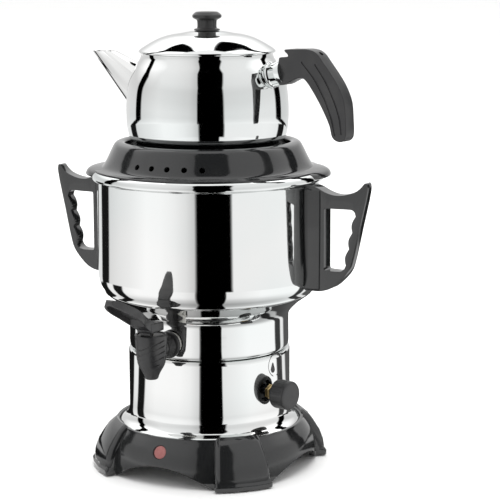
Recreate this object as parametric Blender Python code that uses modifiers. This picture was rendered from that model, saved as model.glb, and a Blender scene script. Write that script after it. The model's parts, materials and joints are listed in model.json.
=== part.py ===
# Electric samovar with a teapot on top: model in metres, +Z up.
# The tap points to -Y, the side handles lie along X, and the table is at height zero.

from math import atan2, cos, hypot, pi, radians, sin, sqrt

import bmesh
import bpy
from mathutils import Vector

# Fits and shared values
seat_gap = 0.0003
running_gap = 0.0005
overrun = 0.004
weld_distance = 0.00001
sharp_corner_angle = radians(70)
large_steps = 28
middle_steps = 16
small_steps = 10

# Foot and skirt of the base
foot_clearance = 0.0015
foot_floor = 0.0025
foot_wall = 0.0028
foot_depth = 0.0263
foot_overlap = 0.0018
foot_rise = 0.0485
foot_half_angle = radians(14)
foot_wall_angle = radians(1.6)
foot_azimuths = [radians(45), radians(135), radians(225), radians(315)]
skirt_wall = 0.003
skirt_spread = 0.013
ledge_height = 0.0417
ledge_thickness = 0.003
ledge_width = 0.0066
collar_thickness = 0.0034
collar_gap = 0.0006
collar_rise = 0.0038
collar_round_share = 0.3
arch_half_width = 0.0546
arch_height = 0.0195
arch_shares = [-1, -0.8, -0.6, -0.4, -0.2, 0, 0.2, 0.4, 0.6, 0.8, 1]

# Rubber foot pads
pad_radius = 0.007
pad_inset = 0.01
pad_stem_radius = 0.002
pad_barb_radius = 0.0032
pad_barb_height = 0.0012

# Bottom cover and its screws
cover_height = 0.02
cover_thickness = 0.0012
cover_inset = 0.007
screw_inset = 0.005
boss_radius = 0.004
cover_shank_radius = 0.0015
cover_screw_length = 0.017
cover_head_radius = 0.0035
cover_head_height = 0.0018

# Base plate and tie rods
base_plate_overlap = 0.005
base_plate_thickness = 0.0012
tie_rod_radius = 0.0025
tie_rod_circle = 0.052
tie_rod_azimuths = [radians(135), radians(315)]
tie_rod_end = 0.0015
tie_nut_radius = 0.005
tie_nut_height = 0.0035
lamp_wire_reach = 0.058
lamp_wire_hole_radius = 0.004

# Lower shell
lower_shell_radius = 0.0794
lower_shell_wall = 0.0008
lower_shell_height = 0.0755
flare_spread = 0.0096
flare_height = 0.018
lower_flange_width = 0.0134
lower_shell_rounding = 0.0016

# Boiler
boiler_wall = 0.001
neck_radius = 0.0783
neck_height = 0.0327
neck_foot_rounding = 0.0028
shoulder_height = 0.0395
boiler_radius = 0.108
drum_height = 0.0936
bead_bulge = 0.0056
bead_height = 0.0091

# Vent ring
ring_brim_spread = 0.0024
ring_height = 0.028
ring_wall = 0.0025
ring_bore_radius = 0.08
ring_seat_rise = 0.0175
ring_steam_radius = 0.05
ring_skirt_inset = 0.004
ring_skirt_depth = 0.008
vent_hole_radius = 0.00275
vent_hole_azimuths = [radians(-13.6), radians(-3.6), radians(5.9), radians(15.7), radians(25.5)]
vent_hole_rise = 0.0105
vent_hole_tilt = radians(26.6)
lobe_azimuths = [radians(-70), radians(110)]
lobe_root_inset = 0.008
lobe_reach = 0.0198
lobe_drop = 0.009
lobe_width = 0.03

# Side handles
handle_thickness = 0.0155
handle_azimuths = [pi / 2, -pi / 2]
handle_edge = 0.002
handle_drop = 0.007
handle_height = 0.1055
handle_reach = 0.0634
window_height = 0.0595
window_rise = 0.0205
window_depth = 0.0317
window_inset = 0.0198
finger_bulges = 3
finger_points = 4
finger_bulge = 0.0014
handle_screw_radius = 0.002
handle_screw_head_radius = 0.0045
handle_screw_head_height = 0.002
handle_screw_depth = 0.012
handle_screw_inset = 0.0125

# Tap body and seat
tap_barrel_length = 0.0134
tap_drop = 0.01
tap_height = 0.0429
tap_cup_radius = 0.0153
tap_nozzle_radius = 0.005
tap_outlet_radius = 0.0038
tap_seat_rise = 0.0202
tap_chamber_radius = 0.0085
tap_recess_radius = 0.0126
tap_recess_depth = 0.0047
barrel_radius = 0.0095
barrel_bore_radius = 0.0045
barrel_rise = 0.0262
barrel_ring_radius = 0.0112
barrel_ring_width = 0.003
tap_flange_radius = 0.013
tap_flange_thickness = 0.0034
tap_gasket_thickness = 0.002
tap_stub_radius = 0.007
tap_stub_length = 0.012
tap_nut_radius = 0.0115
tap_nut_thickness = 0.005

# Tap valve and lever
bonnet_thickness = 0.0038
bonnet_plug_depth = 0.0033
ear_half_width = 0.0052
ear_radius = 0.0027
hinge_advance = 0.008
hinge_rise = 0.0063
lever_pin_radius = 0.0015
stem_radius = 0.002
stem_eye_radius = 0.0025
stem_eye_half_width = 0.0045
stem_flange_radius = 0.006
stem_flange_thickness = 0.002
cross_pin_radius = 0.0015
seal_radius = 0.007
seal_thickness = 0.0027
spring_radius = 0.0048
spring_wire_radius = 0.0006
spring_turns = 3
spring_points_per_turn = 8
lever_half_width = 0.011
lever_cheek = 0.0048
lever_web = 0.003
lever_drop = 0.003
lever_headroom = 0.003
lever_channel_front = 0.0065
lever_rear = 0.022
lever_front = 0.014
slot_half_length = 0.0027
slot_half_height = 0.0019
paddle_reach = 0.065
paddle_rise = 0.0385
paddle_width = 0.0245
paddle_rim = 0.0022

# Heater
heater_hole_radius = 0.021
heater_flange_radius = 0.027
heater_flange_thickness = 0.0035
heater_gasket_thickness = 0.002
heater_boss_length = 0.014
heater_nut_radius = 0.029
heater_nut_thickness = 0.007
element_radius = 0.004
element_loop_radius = 0.05
element_rise = 0.009
element_leg_offset = 0.01
element_bend_share = 0.6
element_entry_angle = radians(75)
element_sweep = radians(330)
element_points = 22

# Thermostat and sensor
thermostat_azimuth = radians(77)
thermostat_height = 0.082
thermostat_radius = 0.018
thermostat_depth = 0.022
bushing_radius = 0.0045
thermostat_nut_radius = 0.0075
thermostat_nut_thickness = 0.0022
shaft_radius = 0.003
knob_radius = 0.014
knob_standoff = 0.0016
knob_length = 0.023
knob_cavity_radius = 0.0105
knob_cavity_depth = 0.011
knob_socket_depth = 0.006
knob_edge = 0.002
sensor_radius = 0.003
sensor_length = 0.04
sensor_offset = 0.042
capillary_radius = 0.001
capillary_bend = 0.006
capillary_points = 14

# Pilot lamp
lamp_height = 0.0335
lamp_tilt = radians(25.6)
lens_radius = 0.0062
lens_thickness = 0.0022
lamp_recess = 0.0008
lamp_bezel_radius = 0.0085
lamp_body_radius = 0.0042
lamp_body_length = 0.011

# Mains inlet
inlet_height = 0.075
inlet_width = 0.027
inlet_tall = 0.02
inlet_depth = 0.02
inlet_flange_margin = 0.0035
inlet_flange_thickness = 0.003
socket_width = 0.021
socket_tall = 0.014
socket_depth = 0.015
pin_radius = 0.0015
pin_length = 0.021
pin_tail = 0.002
pin_spacing = 0.007

# Inner wiring
wire_radius = 0.0011
wire_points = 12
wire_bend = 0.008
wire_spacing = 0.008

# Teapot
pot_radius = 0.0787
pot_height = 0.0942
pot_wall = 0.001
pot_hole_radius = 0.013
spout_azimuth = radians(-97.7)
spout_root_reach = 0.077
spout_root_height = 0.366
spout_root_radius = 0.0215
spout_tip_reach = 0.131
spout_tip_height = 0.403
spout_tip_radius = 0.0065
spout_wall = 0.001
spout_root_run = 0.016
spout_tip_run = 0.012
grip_azimuth = radians(82.3)
ferrule_height = 0.3859
ferrule_reach = 0.0715
ferrule_tilt = radians(13)
ferrule_radius = 0.0105
ferrule_end_radius = 0.012
ferrule_length = 0.019
ferrule_root_run = 0.01
grip_thickness = 0.017
grip_edge = 0.004
grip_length = 0.077
grip_seat_depth = 0.002
grip_drop = 0.057
grip_height = 0.0835
grip_screw_radius = 0.002
grip_screw_head_radius = 0.0045
grip_screw_head_height = 0.002
grip_screw_depth = 0.01
grip_screw_seat = 0.0014

# Lid and its knob
lid_radius = 0.066
lid_wall = 0.001
lid_edge_height = 0.0024
lid_rise = 0.0168
lid_skirt_radius = 0.0612
lid_skirt_depth = 0.008
lid_knob_radius = 0.014
lid_knob_height = 0.0198
lid_screw_radius = 0.002
lid_screw_head_radius = 0.0045
lid_screw_head_height = 0.0018
lid_screw_depth = 0.01

# Heights and reaches that follow from the stack of pieces
flare_radius = lower_shell_radius + flare_spread
lower_flange_radius = lower_shell_radius - lower_flange_width
collar_inner_radius = flare_radius + collar_gap
collar_outer_radius = collar_inner_radius + collar_thickness
ledge_inner_radius = collar_inner_radius - ledge_width
base_plate_radius = ledge_inner_radius + base_plate_overlap
skirt_reach = collar_outer_radius + skirt_spread
foot_root = collar_outer_radius - foot_overlap
foot_reach = foot_root + foot_depth
pad_circle_radius = foot_reach - pad_inset
cover_radius = skirt_reach - cover_inset
screw_circle_radius = cover_radius - screw_inset
collar_top = ledge_height + collar_rise
ledge_foot = ledge_height - ledge_thickness
foot_roof = ledge_foot - ledge_thickness
base_plate_top = ledge_foot - seat_gap
base_plate_foot = base_plate_top - base_plate_thickness
shell_foot = ledge_height + seat_gap
lower_shell_top = shell_foot + lower_shell_height
boiler_floor = lower_shell_top + seat_gap
neck_top = boiler_floor + neck_height
drum_foot = neck_top + shoulder_height
drum_top = drum_foot + drum_height
boiler_top = drum_top + bead_height
handle_foot = drum_foot - handle_drop
window_root = boiler_radius + window_inset
window_foot = handle_foot + window_rise
handle_screw_heights = [
    handle_foot + handle_screw_inset,
    (window_foot + window_height + handle_foot + handle_height) / 2 - handle_edge]
ring_brim_radius = boiler_radius + ring_brim_spread
ring_skirt_radius = boiler_radius - ring_skirt_inset
lobe_root_radius = boiler_radius - lobe_root_inset
ring_foot = boiler_top + seat_gap
ring_seat = ring_foot + ring_seat_rise
pot_foot = ring_seat + seat_gap
pot_rim = pot_foot + pot_height
lid_foot = pot_rim + seat_gap
lid_top = lid_foot + lid_edge_height + lid_rise
grip_foot = ferrule_height - grip_drop
grip_root_reach = ferrule_reach + ferrule_length * cos(ferrule_tilt) - grip_seat_depth
inner_neck_radius = neck_radius - boiler_wall
inner_shell_radius = lower_shell_radius - lower_shell_wall
tap_foot = boiler_floor - tap_drop
tap_top = tap_foot + tap_height
tap_seat = tap_foot + tap_seat_rise
barrel_height = tap_foot + barrel_rise
gasket_face = neck_radius + seat_gap + tap_gasket_thickness
tap_reach = gasket_face + seat_gap + tap_flange_thickness + tap_barrel_length + tap_cup_radius
bonnet_foot = tap_top - tap_recess_depth + seat_gap - bonnet_plug_depth
hinge_reach = tap_reach + hinge_advance
hinge_height = tap_top + hinge_rise
heater_boss_foot = boiler_floor + boiler_wall + heater_gasket_thickness + 2 * seat_gap - heater_boss_length
thermostat_front = sqrt(inner_shell_radius ** 2 - thermostat_radius ** 2) * cos(pi / large_steps) - seat_gap
thermostat_back = thermostat_front - thermostat_depth
capillary_height = thermostat_height + thermostat_radius / 2
inlet_back = lower_shell_radius - inlet_depth
pin_back = inlet_back - pin_tail

# The origin is the middle of the whole width and depth, and the samovar's axis lies behind it.
front_reach = hinge_reach + paddle_reach
rear_reach = boiler_radius + bead_bulge
axis_offset = (front_reach - rear_reach) / 2


# Scene and materials

for leftover in list(bpy.data.objects):
    bpy.data.objects.remove(leftover)


def new_collection(name):
    group = bpy.data.collections.new(name)
    bpy.context.scene.collection.children.link(group)
    return group


def new_material(name, colour, roughness, metallic):
    material = bpy.data.materials.new(name)
    material.use_nodes = True
    shader = material.node_tree.nodes["Principled BSDF"]
    shader.inputs["Base Color"].default_value = (*colour, 1)
    shader.inputs["Roughness"].default_value = roughness
    shader.inputs["Metallic"].default_value = metallic
    return material


parts = new_collection("samovar")
cutters = new_collection("samovar_cutters")
axis = bpy.data.objects.new("samovar_axis", None)
axis.location = (0, axis_offset, 0)
bpy.context.scene.collection.objects.link(axis)

polished_steel = new_material("polished_steel", (0.78, 0.78, 0.77), 0.06, 1)
plain_steel = new_material("plain_steel", (0.55, 0.55, 0.56), 0.35, 1)
brass = new_material("brass", (0.72, 0.55, 0.26), 0.3, 1)
gloss_black = new_material("gloss_black", (0.012, 0.012, 0.013), 0.08, 0)
satin_black = new_material("satin_black", (0.02, 0.02, 0.02), 0.35, 0)
rubber = new_material("rubber", (0.05, 0.05, 0.05), 0.85, 0)
white_rubber = new_material("white_rubber", (0.75, 0.74, 0.7), 0.7, 0)
red_lens = new_material("red_lens", (0.45, 0.1, 0.08), 0.2, 0)
wire_brown = new_material("wire_brown", (0.2, 0.08, 0.04), 0.5, 0)
wire_blue = new_material("wire_blue", (0.05, 0.13, 0.4), 0.5, 0)


# Helpers

def put(item, paint):
    # An object with a material is a part, and one without is a cutter.
    item.parent = axis
    if paint is None:
        cutters.objects.link(item)
        item.display_type = "WIRE"
        item.hide_render = True
    else:
        parts.objects.link(item)
        item.data.materials.append(paint)
    return item


def turned(name, points, paint=None, steps=large_steps, closed=False):
    # Turns an outline of (radius, height) points about the object's own Z.
    edges = [(index, index + 1) for index in range(len(points) - 1)]
    if closed:
        edges.append((len(points) - 1, 0))
    mesh = bpy.data.meshes.new(name)
    mesh.from_pydata([(radius, 0, height) for radius, height in points], edges, [])
    item = bpy.data.objects.new(name, mesh)
    screw = item.modifiers.new("turn", "SCREW")
    screw.angle = 2 * pi
    screw.steps = steps
    screw.render_steps = steps
    screw.use_merge_vertices = True
    screw.merge_threshold = weld_distance
    screw.use_smooth_shade = True
    return put(item, paint)


def thicken(item, wall):
    # Gives a sheet its wall, inward from the drawn outer face.
    solidify = item.modifiers.new("wall", "SOLIDIFY")
    solidify.thickness = wall
    solidify.offset = -1
    solidify.use_even_offset = True
    solidify.use_quality_normals = True


def from_bmesh(name, shape, paint):
    mesh = bpy.data.meshes.new(name)
    shape.to_mesh(mesh)
    shape.free()
    return put(bpy.data.objects.new(name, mesh), paint)


def cylinder(name, radius, length, paint=None, steps=small_steps, end_radius=None):
    # Stands on the object's origin and rises along its own Z.
    shape = bmesh.new()
    end = radius if end_radius is None else end_radius
    bmesh.ops.create_cone(shape, cap_ends=True, segments=steps, radius1=radius, radius2=end, depth=length)
    bmesh.ops.translate(shape, verts=shape.verts, vec=(0, 0, length / 2))
    return from_bmesh(name, shape, paint)


def posts(name, radius, length, reach, azimuths, foot):
    # One tool with an upright post at each azimuth.
    shape = bmesh.new()
    for azimuth in azimuths:
        made = bmesh.ops.create_cone(
            shape, cap_ends=True, segments=small_steps, radius1=radius, radius2=radius, depth=length)
        middle = outward(azimuth) * reach + Vector((0, 0, foot + length / 2))
        bmesh.ops.translate(shape, verts=made["verts"], vec=middle)
    return from_bmesh(name, shape, None)


def box(name, width, depth, height, paint=None):
    # Is centred on the object's origin.
    shape = bmesh.new()
    bmesh.ops.create_cube(shape, size=1)
    bmesh.ops.scale(shape, verts=shape.verts, vec=(width, depth, height))
    return from_bmesh(name, shape, paint)


def solid_from_curve(name, curve, paint):
    wire = bpy.data.objects.new(name + "_outline", curve)
    cutters.objects.link(wire)
    view = bpy.context.evaluated_depsgraph_get()
    mesh = bpy.data.meshes.new_from_object(wire.evaluated_get(view))
    bpy.data.objects.remove(wire)
    shape = bmesh.new()
    shape.from_mesh(mesh)
    bmesh.ops.remove_doubles(shape, verts=shape.verts, dist=weld_distance)
    bmesh.ops.recalc_face_normals(shape, faces=shape.faces)
    return from_bmesh(name, shape, paint)


def plate(name, outlines, thickness, paint=None):
    # A flat piece drawn in the object's own X and Y, as thick on both sides of them.
    curve = bpy.data.curves.new(name, "CURVE")
    curve.dimensions = "2D"
    curve.fill_mode = "BOTH"
    curve.extrude = thickness / 2
    for outline in outlines:
        spline = curve.splines.new("POLY")
        spline.points.add(len(outline) - 1)
        for point, (x, y) in zip(spline.points, outline):
            point.co = (x, y, 0, 1)
        spline.use_cyclic_u = True
    return solid_from_curve(name, curve, paint)


def tube_curve(name, points, radius, resolution=2):
    curve = bpy.data.curves.new(name, "CURVE")
    curve.dimensions = "3D"
    curve.bevel_depth = radius
    curve.bevel_resolution = resolution
    curve.use_fill_caps = True
    spline = curve.splines.new("POLY")
    spline.points.add(len(points) - 1)
    for point, place in zip(spline.points, points):
        point.co = (*place, 1)
    return curve


def tube(name, points, radius, paint, resolution=2):
    return put(bpy.data.objects.new(name, tube_curve(name, points, radius, resolution)), paint)


def smooth_path(route, count):
    # Reads points at even steps from a smooth curve through the points of a route.
    knots = [Vector(place) for place in route]
    knots = [2 * knots[0] - knots[1], *knots, 2 * knots[-1] - knots[-2]]
    spans = len(route) - 1
    path = []
    for step in range(count):
        place = spans * step / (count - 1)
        index = min(int(place), spans - 1)
        share = place - index
        before, start, end, after = knots[index:index + 4]
        slope_in = (end - before) / 2
        slope_out = (after - start) / 2
        chord = end - start
        cubic = slope_in + slope_out - 2 * chord
        square = 3 * chord - 2 * slope_in - slope_out
        path.append(start + slope_in * share + square * share ** 2 + cubic * share ** 3)
    return path


def square_ended_path(route, lead, count):
    # A smooth path whose two ends run straight, square to what they meet.
    start = Vector(route[0])
    end = Vector(route[-1])
    lead_in = start + (Vector(route[1]) - start).normalized() * lead
    lead_out = end + (Vector(route[-2]) - end).normalized() * lead
    return [start, *smooth_path([lead_in, *route[1:-1], lead_out], count), end]


def combine(piece, operation, tools):
    for tool in tools:
        step = piece.modifiers.new(tool.name, "BOOLEAN")
        step.operation = operation
        step.object = tool


def cut(piece, *tools):
    combine(piece, "DIFFERENCE", tools)


def join(piece, *tools):
    combine(piece, "UNION", tools)


def keep_inside(piece, *tools):
    combine(piece, "INTERSECT", tools)


def round_edges(piece, width):
    bevel = piece.modifiers.new("edge", "BEVEL")
    bevel.width = width
    bevel.segments = 1
    bevel.limit_method = "ANGLE"
    bevel.angle_limit = sharp_corner_angle


def outward(azimuth):
    # Azimuth zero is the tap's side, and +90 degrees is +X.
    return Vector((sin(azimuth), -cos(azimuth), 0))


def spot(azimuth, reach, across, height):
    side = Vector((cos(azimuth), sin(azimuth), 0))
    return outward(azimuth) * reach + side * across + Vector((0, 0, height))


def aim(item, azimuth, reach, height, tilt=0):
    # Points the object's own Z outward, raised by the tilt.
    direction = outward(azimuth) * cos(tilt) + Vector((0, 0, sin(tilt)))
    item.rotation_mode = "QUATERNION"
    item.rotation_quaternion = direction.to_track_quat("Z", "Y")
    item.location = outward(azimuth) * reach + Vector((0, 0, height))
    return item


def stand(item, azimuth):
    # Turns an outline drawn in X and Y so that X runs outward and Y rises.
    item.rotation_euler = (pi / 2, 0, azimuth - pi / 2)
    return item


def lie_across(item, reach, height, half_length):
    # Turns an object's own Z to +X in front of the axis, with its middle over the tap's plane.
    item.rotation_euler = (0, pi / 2, 0)
    item.location = (-half_length, -reach, height)
    return item


def from_shares(shares, foot, size):
    return [(foot[0] + size[0] * x, foot[1] + size[1] * y) for x, y in shares]


def inset(points, distance):
    # Shifts an open outline to its right-hand side, with mitred corners.
    normals = []
    for (x, y), (next_x, next_y) in zip(points, points[1:]):
        length = hypot(next_x - x, next_y - y)
        normals.append(((next_y - y) / length, (x - next_x) / length))
    shifted = []
    for index, (x, y) in enumerate(points):
        first = normals[max(index - 1, 0)]
        second = normals[min(index, len(normals) - 1)]
        spread = 1 + first[0] * second[0] + first[1] * second[1]
        move_x = distance * (first[0] + second[0]) / spread
        move_y = distance * (first[1] + second[1]) / spread
        shifted.append((x + move_x, y + move_y))
    return shifted


def arc(centre, radius, start, end, count):
    turn = (end - start) / count
    return [
        (centre[0] + radius * cos(start + turn * step), centre[1] + radius * sin(start + turn * step))
        for step in range(count + 1)]


def radius_at(points, height):
    # The radius of a falling outline at a height.
    for (radius, top), (next_radius, foot) in zip(points, points[1:]):
        if top >= height >= foot and top > foot:
            return radius + (next_radius - radius) * (top - height) / (top - foot)
    return points[-1][0]


def inner_face(radius, half_width):
    # How far a flat face of this half width can reach inside a turned wall of this radius.
    return sqrt(radius ** 2 - half_width ** 2) * cos(pi / large_steps) - seat_gap


def drum_form(name, radius, foot, top):
    # A turned solid whose facets line up with the shells, for cutting pieces to fit them.
    return turned(name, [(0, top), (radius, top), (radius, foot), (0, foot)])


def bore(piece, radius, start, length, steps=small_steps):
    # Cuts a round hole along the piece's own Z, from a height in the piece's own frame.
    tool = cylinder(piece.name + "_bore", radius, length, steps=steps)
    tool.parent = piece
    tool.location = (0, 0, start)
    cut(piece, tool)


def nut(name, radius, hole_radius, thickness, paint, hole_steps=middle_steps):
    piece = cylinder(name, radius, thickness, paint, steps=6)
    bore(piece, hole_radius, -overrun, thickness + 2 * overrun, hole_steps)
    return piece


# Base: skirt with feet, pads, bottom cover, base plate and tie rods

skirt_shares = [
    (0, 0.03), (0.346, 0.159), (0.615, 0.284), (0.86, 0.52), (0.98, 0.79), (1, 1)]
skirt_outline = from_shares(
    skirt_shares, (collar_outer_radius, collar_top),
    (skirt_reach - collar_outer_radius, foot_clearance - collar_top))
foot_shares = [
    (0, 0.98), (0.068, 1), (0.144, 0.979), (0.354, 0.845), (0.563, 0.691), (0.753, 0.526), (0.886, 0.34),
    (0.924, 0.175), (1, 0.093), (1, 0.031), (0.962, 0), (0, 0)]
foot_outline = from_shares(foot_shares, (foot_root, foot_clearance), (foot_reach - foot_root, foot_rise))
foot_side_points = slice(4, 8)


def wedges(name, half_angle):
    # One tool with a wedge at each foot.
    inner = ledge_inner_radius - 2 * overrun
    outer = foot_reach + overrun
    outlines = []
    for azimuth in foot_azimuths:
        corners = [(inner, half_angle), (outer, half_angle), (outer, -half_angle), (inner, -half_angle)]
        outlines.append([tuple(outward(azimuth + turn) * reach)[:2] for reach, turn in corners])
    return plate(name, outlines, 2 * (foot_clearance + foot_rise + overrun))


def make_skirt():
    corner = collar_outer_radius - (collar_outer_radius - collar_inner_radius) * collar_round_share
    inner_corner = collar_inner_radius + (collar_outer_radius - collar_inner_radius) * collar_round_share
    collar = [(collar_inner_radius, skirt_outline[0][1]), (inner_corner, collar_top), (corner, collar_top)]
    inner_wall = inset(skirt_outline, skirt_wall)[1:]
    ledge = [
        (collar_inner_radius, ledge_foot), (ledge_inner_radius, ledge_foot),
        (ledge_inner_radius, ledge_height), (collar_inner_radius, ledge_height)]
    loop = collar + skirt_outline + inner_wall[::-1] + ledge
    skirt = turned("base_skirt", loop, gloss_black, closed=True)

    rising = [(arch_half_width * x, arch_height * (1 - x * x)) for x in arch_shares]
    arch = [(-arch_half_width, -overrun), *rising, (arch_half_width, -overrun)]
    for azimuth in (0, pi / 2):
        cut(skirt, stand(plate("arch", [arch], 2 * (foot_reach + overrun)), azimuth))

    feet = turned("feet", foot_outline, closed=True)
    keep_inside(feet, wedges("foot_wedges", foot_half_angle))
    join(skirt, feet)
    inner_side = inset(foot_outline, foot_wall)[foot_side_points]
    floor = foot_clearance + foot_floor
    roof_corner = (inner_side[0][0] - foot_wall / 2, foot_roof)
    toe = (inner_side[-1][0], floor)
    hollow_root = ledge_inner_radius
    hollow = [(hollow_root, foot_roof), roof_corner, *inner_side, toe, (hollow_root, floor)]
    hollows = turned("foot_hollows", hollow, closed=True)
    keep_inside(hollows, wedges("hollow_wedges", foot_half_angle - foot_wall_angle))
    boss_foot = cover_height + cover_thickness + seat_gap
    recess = drum_form("cover_recess", cover_radius + running_gap, -overrun, boss_foot)
    cut(skirt, hollows, recess)
    join(skirt, posts("bosses", boss_radius, foot_roof + foot_wall / 2 - boss_foot, screw_circle_radius,
                      foot_azimuths, boss_foot))
    cut(skirt, posts("boss_holes", cover_shank_radius + seat_gap, cover_screw_length + overrun,
                     screw_circle_radius, foot_azimuths, boss_foot - overrun))
    cut(skirt, posts("pad_holes", pad_stem_radius + seat_gap, foot_floor + 2 * overrun, pad_circle_radius,
                     foot_azimuths, foot_clearance - overrun))
    make_lamp(skirt)


def make_lamp(skirt):
    # The pilot lamp sits square to the sloping skirt under the tap.
    reach = radius_at(skirt_outline, lamp_height)

    def along(item, depth):
        # Depth is measured inward from the skirt's surface, and the piece points outward.
        inward = depth * cos(lamp_tilt)
        return aim(item, 0, reach - inward, lamp_height - depth * sin(lamp_tilt), lamp_tilt)

    lens_depth = lamp_recess + lens_thickness
    shoulder = lens_depth + seat_gap
    bezel_depth = shoulder + skirt_wall
    bezel = cylinder("lamp_bezel", lamp_bezel_radius, bezel_depth - skirt_wall / 2)
    join(skirt, along(bezel, bezel_depth))
    well = cylinder("lamp_well", lens_radius + seat_gap, shoulder + overrun)
    cut(skirt, along(well, shoulder))
    seat = cylinder("lamp_seat", lamp_body_radius + seat_gap, 2 * overrun + bezel_depth)
    cut(skirt, along(seat, bezel_depth + overrun))
    along(cylinder("lamp_lens", lens_radius, lens_thickness, red_lens), lens_depth)
    along(cylinder("lamp_body", lamp_body_radius, lamp_body_length, white_rubber), shoulder + lamp_body_length)


def make_foot_pads():
    disc_top = foot_clearance - seat_gap
    barb_foot = foot_clearance + foot_floor + seat_gap
    barb_top = barb_foot + pad_barb_height
    pad = [
        (0, barb_top), (pad_stem_radius, barb_top), (pad_barb_radius, barb_foot), (pad_stem_radius, barb_foot),
        (pad_stem_radius, disc_top), (pad_radius, disc_top), (pad_radius, 0), (0, 0)]
    for number, azimuth in enumerate(foot_azimuths, 1):
        piece = turned(f"foot_pad_{number}", pad, rubber, small_steps)
        piece.location = outward(azimuth) * pad_circle_radius


def make_bottom_cover():
    cover = cylinder("bottom_cover", cover_radius, cover_thickness, gloss_black, large_steps)
    cover.location = (0, 0, cover_height)
    cut(cover, posts("cover_holes", cover_shank_radius + running_gap, cover_thickness + 2 * overrun,
                     screw_circle_radius, foot_azimuths, cover_height - overrun))
    head_top = cover_height - seat_gap
    tip = head_top + cover_screw_length
    screw = [
        (0, tip), (cover_shank_radius, tip), (cover_shank_radius, head_top), (cover_head_radius, head_top),
        (cover_head_radius, head_top - cover_head_height), (0, head_top - cover_head_height)]
    for number, azimuth in enumerate(foot_azimuths, 1):
        piece = turned(f"cover_screw_{number}", screw, plain_steel, small_steps)
        piece.location = outward(azimuth) * screw_circle_radius


def make_base_plate():
    plate_disc = cylinder("base_plate", base_plate_radius, base_plate_thickness, plain_steel, large_steps)
    plate_disc.location = (0, 0, base_plate_foot)
    cut(plate_disc, posts("rod_holes", tie_rod_radius + seat_gap, base_plate_thickness + 2 * overrun,
                          tie_rod_circle, tie_rod_azimuths, base_plate_foot - overrun))
    cut(plate_disc, posts("lamp_wire_hole", lamp_wire_hole_radius, base_plate_thickness + 2 * overrun,
                          lamp_wire_reach, [0], base_plate_foot - overrun))
    nut_foot = base_plate_foot - seat_gap - tie_nut_height
    rod_foot = nut_foot - tie_rod_end
    for number, azimuth in enumerate(tie_rod_azimuths, 1):
        rod = cylinder(f"tie_rod_{number}", tie_rod_radius, lower_shell_top - rod_foot, plain_steel)
        rod.location = outward(azimuth) * tie_rod_circle + Vector((0, 0, rod_foot))
        piece = nut(f"tie_nut_{number}", tie_nut_radius, tie_rod_radius + seat_gap, tie_nut_height, plain_steel)
        piece.location = outward(azimuth) * tie_rod_circle + Vector((0, 0, nut_foot))


# Shells

flare_shares = [
    (0, 1), (0.06, 0.72), (0.23, 0.48), (0.43, 0.35), (0.84, 0.19), (1, 0.067), (1, 0)]
shoulder_shares = [
    (1, 1), (0.963, 0.823), (0.842, 0.678), (0.798, 0.595), (0.63, 0.494), (0.377, 0.352), (0.081, 0.122), (0, 0)]
bead_shares = [
    (0.43, 1), (0.85, 0.7), (1, 0.31), (0.8, 0.1), (0.11, 0), (0, -0.08)]


def make_lower_shell():
    rounding = arc((lower_shell_radius - lower_shell_rounding, lower_shell_top - lower_shell_rounding),
                   lower_shell_rounding, pi / 2, 0, 2)
    flare = from_shares(
        flare_shares, (lower_shell_radius, shell_foot), (flare_radius - lower_shell_radius, flare_height))
    shell = turned("lower_shell", [(lower_flange_radius, lower_shell_top), *rounding, *flare], polished_steel)
    thicken(shell, lower_shell_wall)
    shaft_hole = cylinder("thermostat_hole", bushing_radius + seat_gap, lower_shell_radius)
    cut(shell, aim(shaft_hole, thermostat_azimuth, lower_shell_radius / 2, thermostat_height))
    inlet_hole = box("inlet_hole", inlet_width + 2 * seat_gap, inlet_tall + 2 * seat_gap, lower_shell_radius)
    cut(shell, aim(inlet_hole, pi, lower_shell_radius, inlet_height))


def make_boiler():
    bead = from_shares(bead_shares, (boiler_radius, drum_top), (bead_bulge, bead_height))
    shoulder = from_shares(
        shoulder_shares, (neck_radius, neck_top), (boiler_radius - neck_radius, shoulder_height))
    foot_centre = (neck_radius - neck_foot_rounding, boiler_floor + neck_foot_rounding)
    foot = arc(foot_centre, neck_foot_rounding, 0, -pi / 2, 2)
    outline = [*bead, *shoulder, *foot, (heater_hole_radius, boiler_floor)]
    boiler = turned("boiler", outline, polished_steel)
    thicken(boiler, boiler_wall)
    tap_hole = cylinder("tap_hole", tap_stub_radius + seat_gap, neck_radius, steps=middle_steps)
    cut(boiler, aim(tap_hole, 0, neck_radius / 2, barrel_height))
    for azimuth in handle_azimuths:
        for height in handle_screw_heights:
            hole = cylinder("handle_screw_hole", handle_screw_radius + seat_gap, boiler_radius)
            cut(boiler, aim(hole, azimuth, boiler_radius / 2, height))


# Vent ring

ring_shares = [
    (0, 0.914), (0.043, 0.975), (0.148, 1), (0.247, 0.986), (0.329, 0.929), (0.395, 0.821), (0.592, 0.393),
    (0.691, 0.2), (0.757, 0.121), (0.855, 0.071), (1, 0.05), (1, 0)]
ring_outline = from_shares(
    ring_shares, (ring_bore_radius, ring_foot), (ring_brim_radius - ring_bore_radius, ring_height))
ring_slope_points = slice(2, 9)
lobe_shares = [
    (0, 0.04), (0, 0.47), (0.606, 0.444), (0.848, 0.222), (0.975, -0.167), (1, -0.611), (0.94, -0.978),
    (0.788, -1), (0.758, -0.611), (0.737, -0.267), (0.657, 0.04)]


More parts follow.
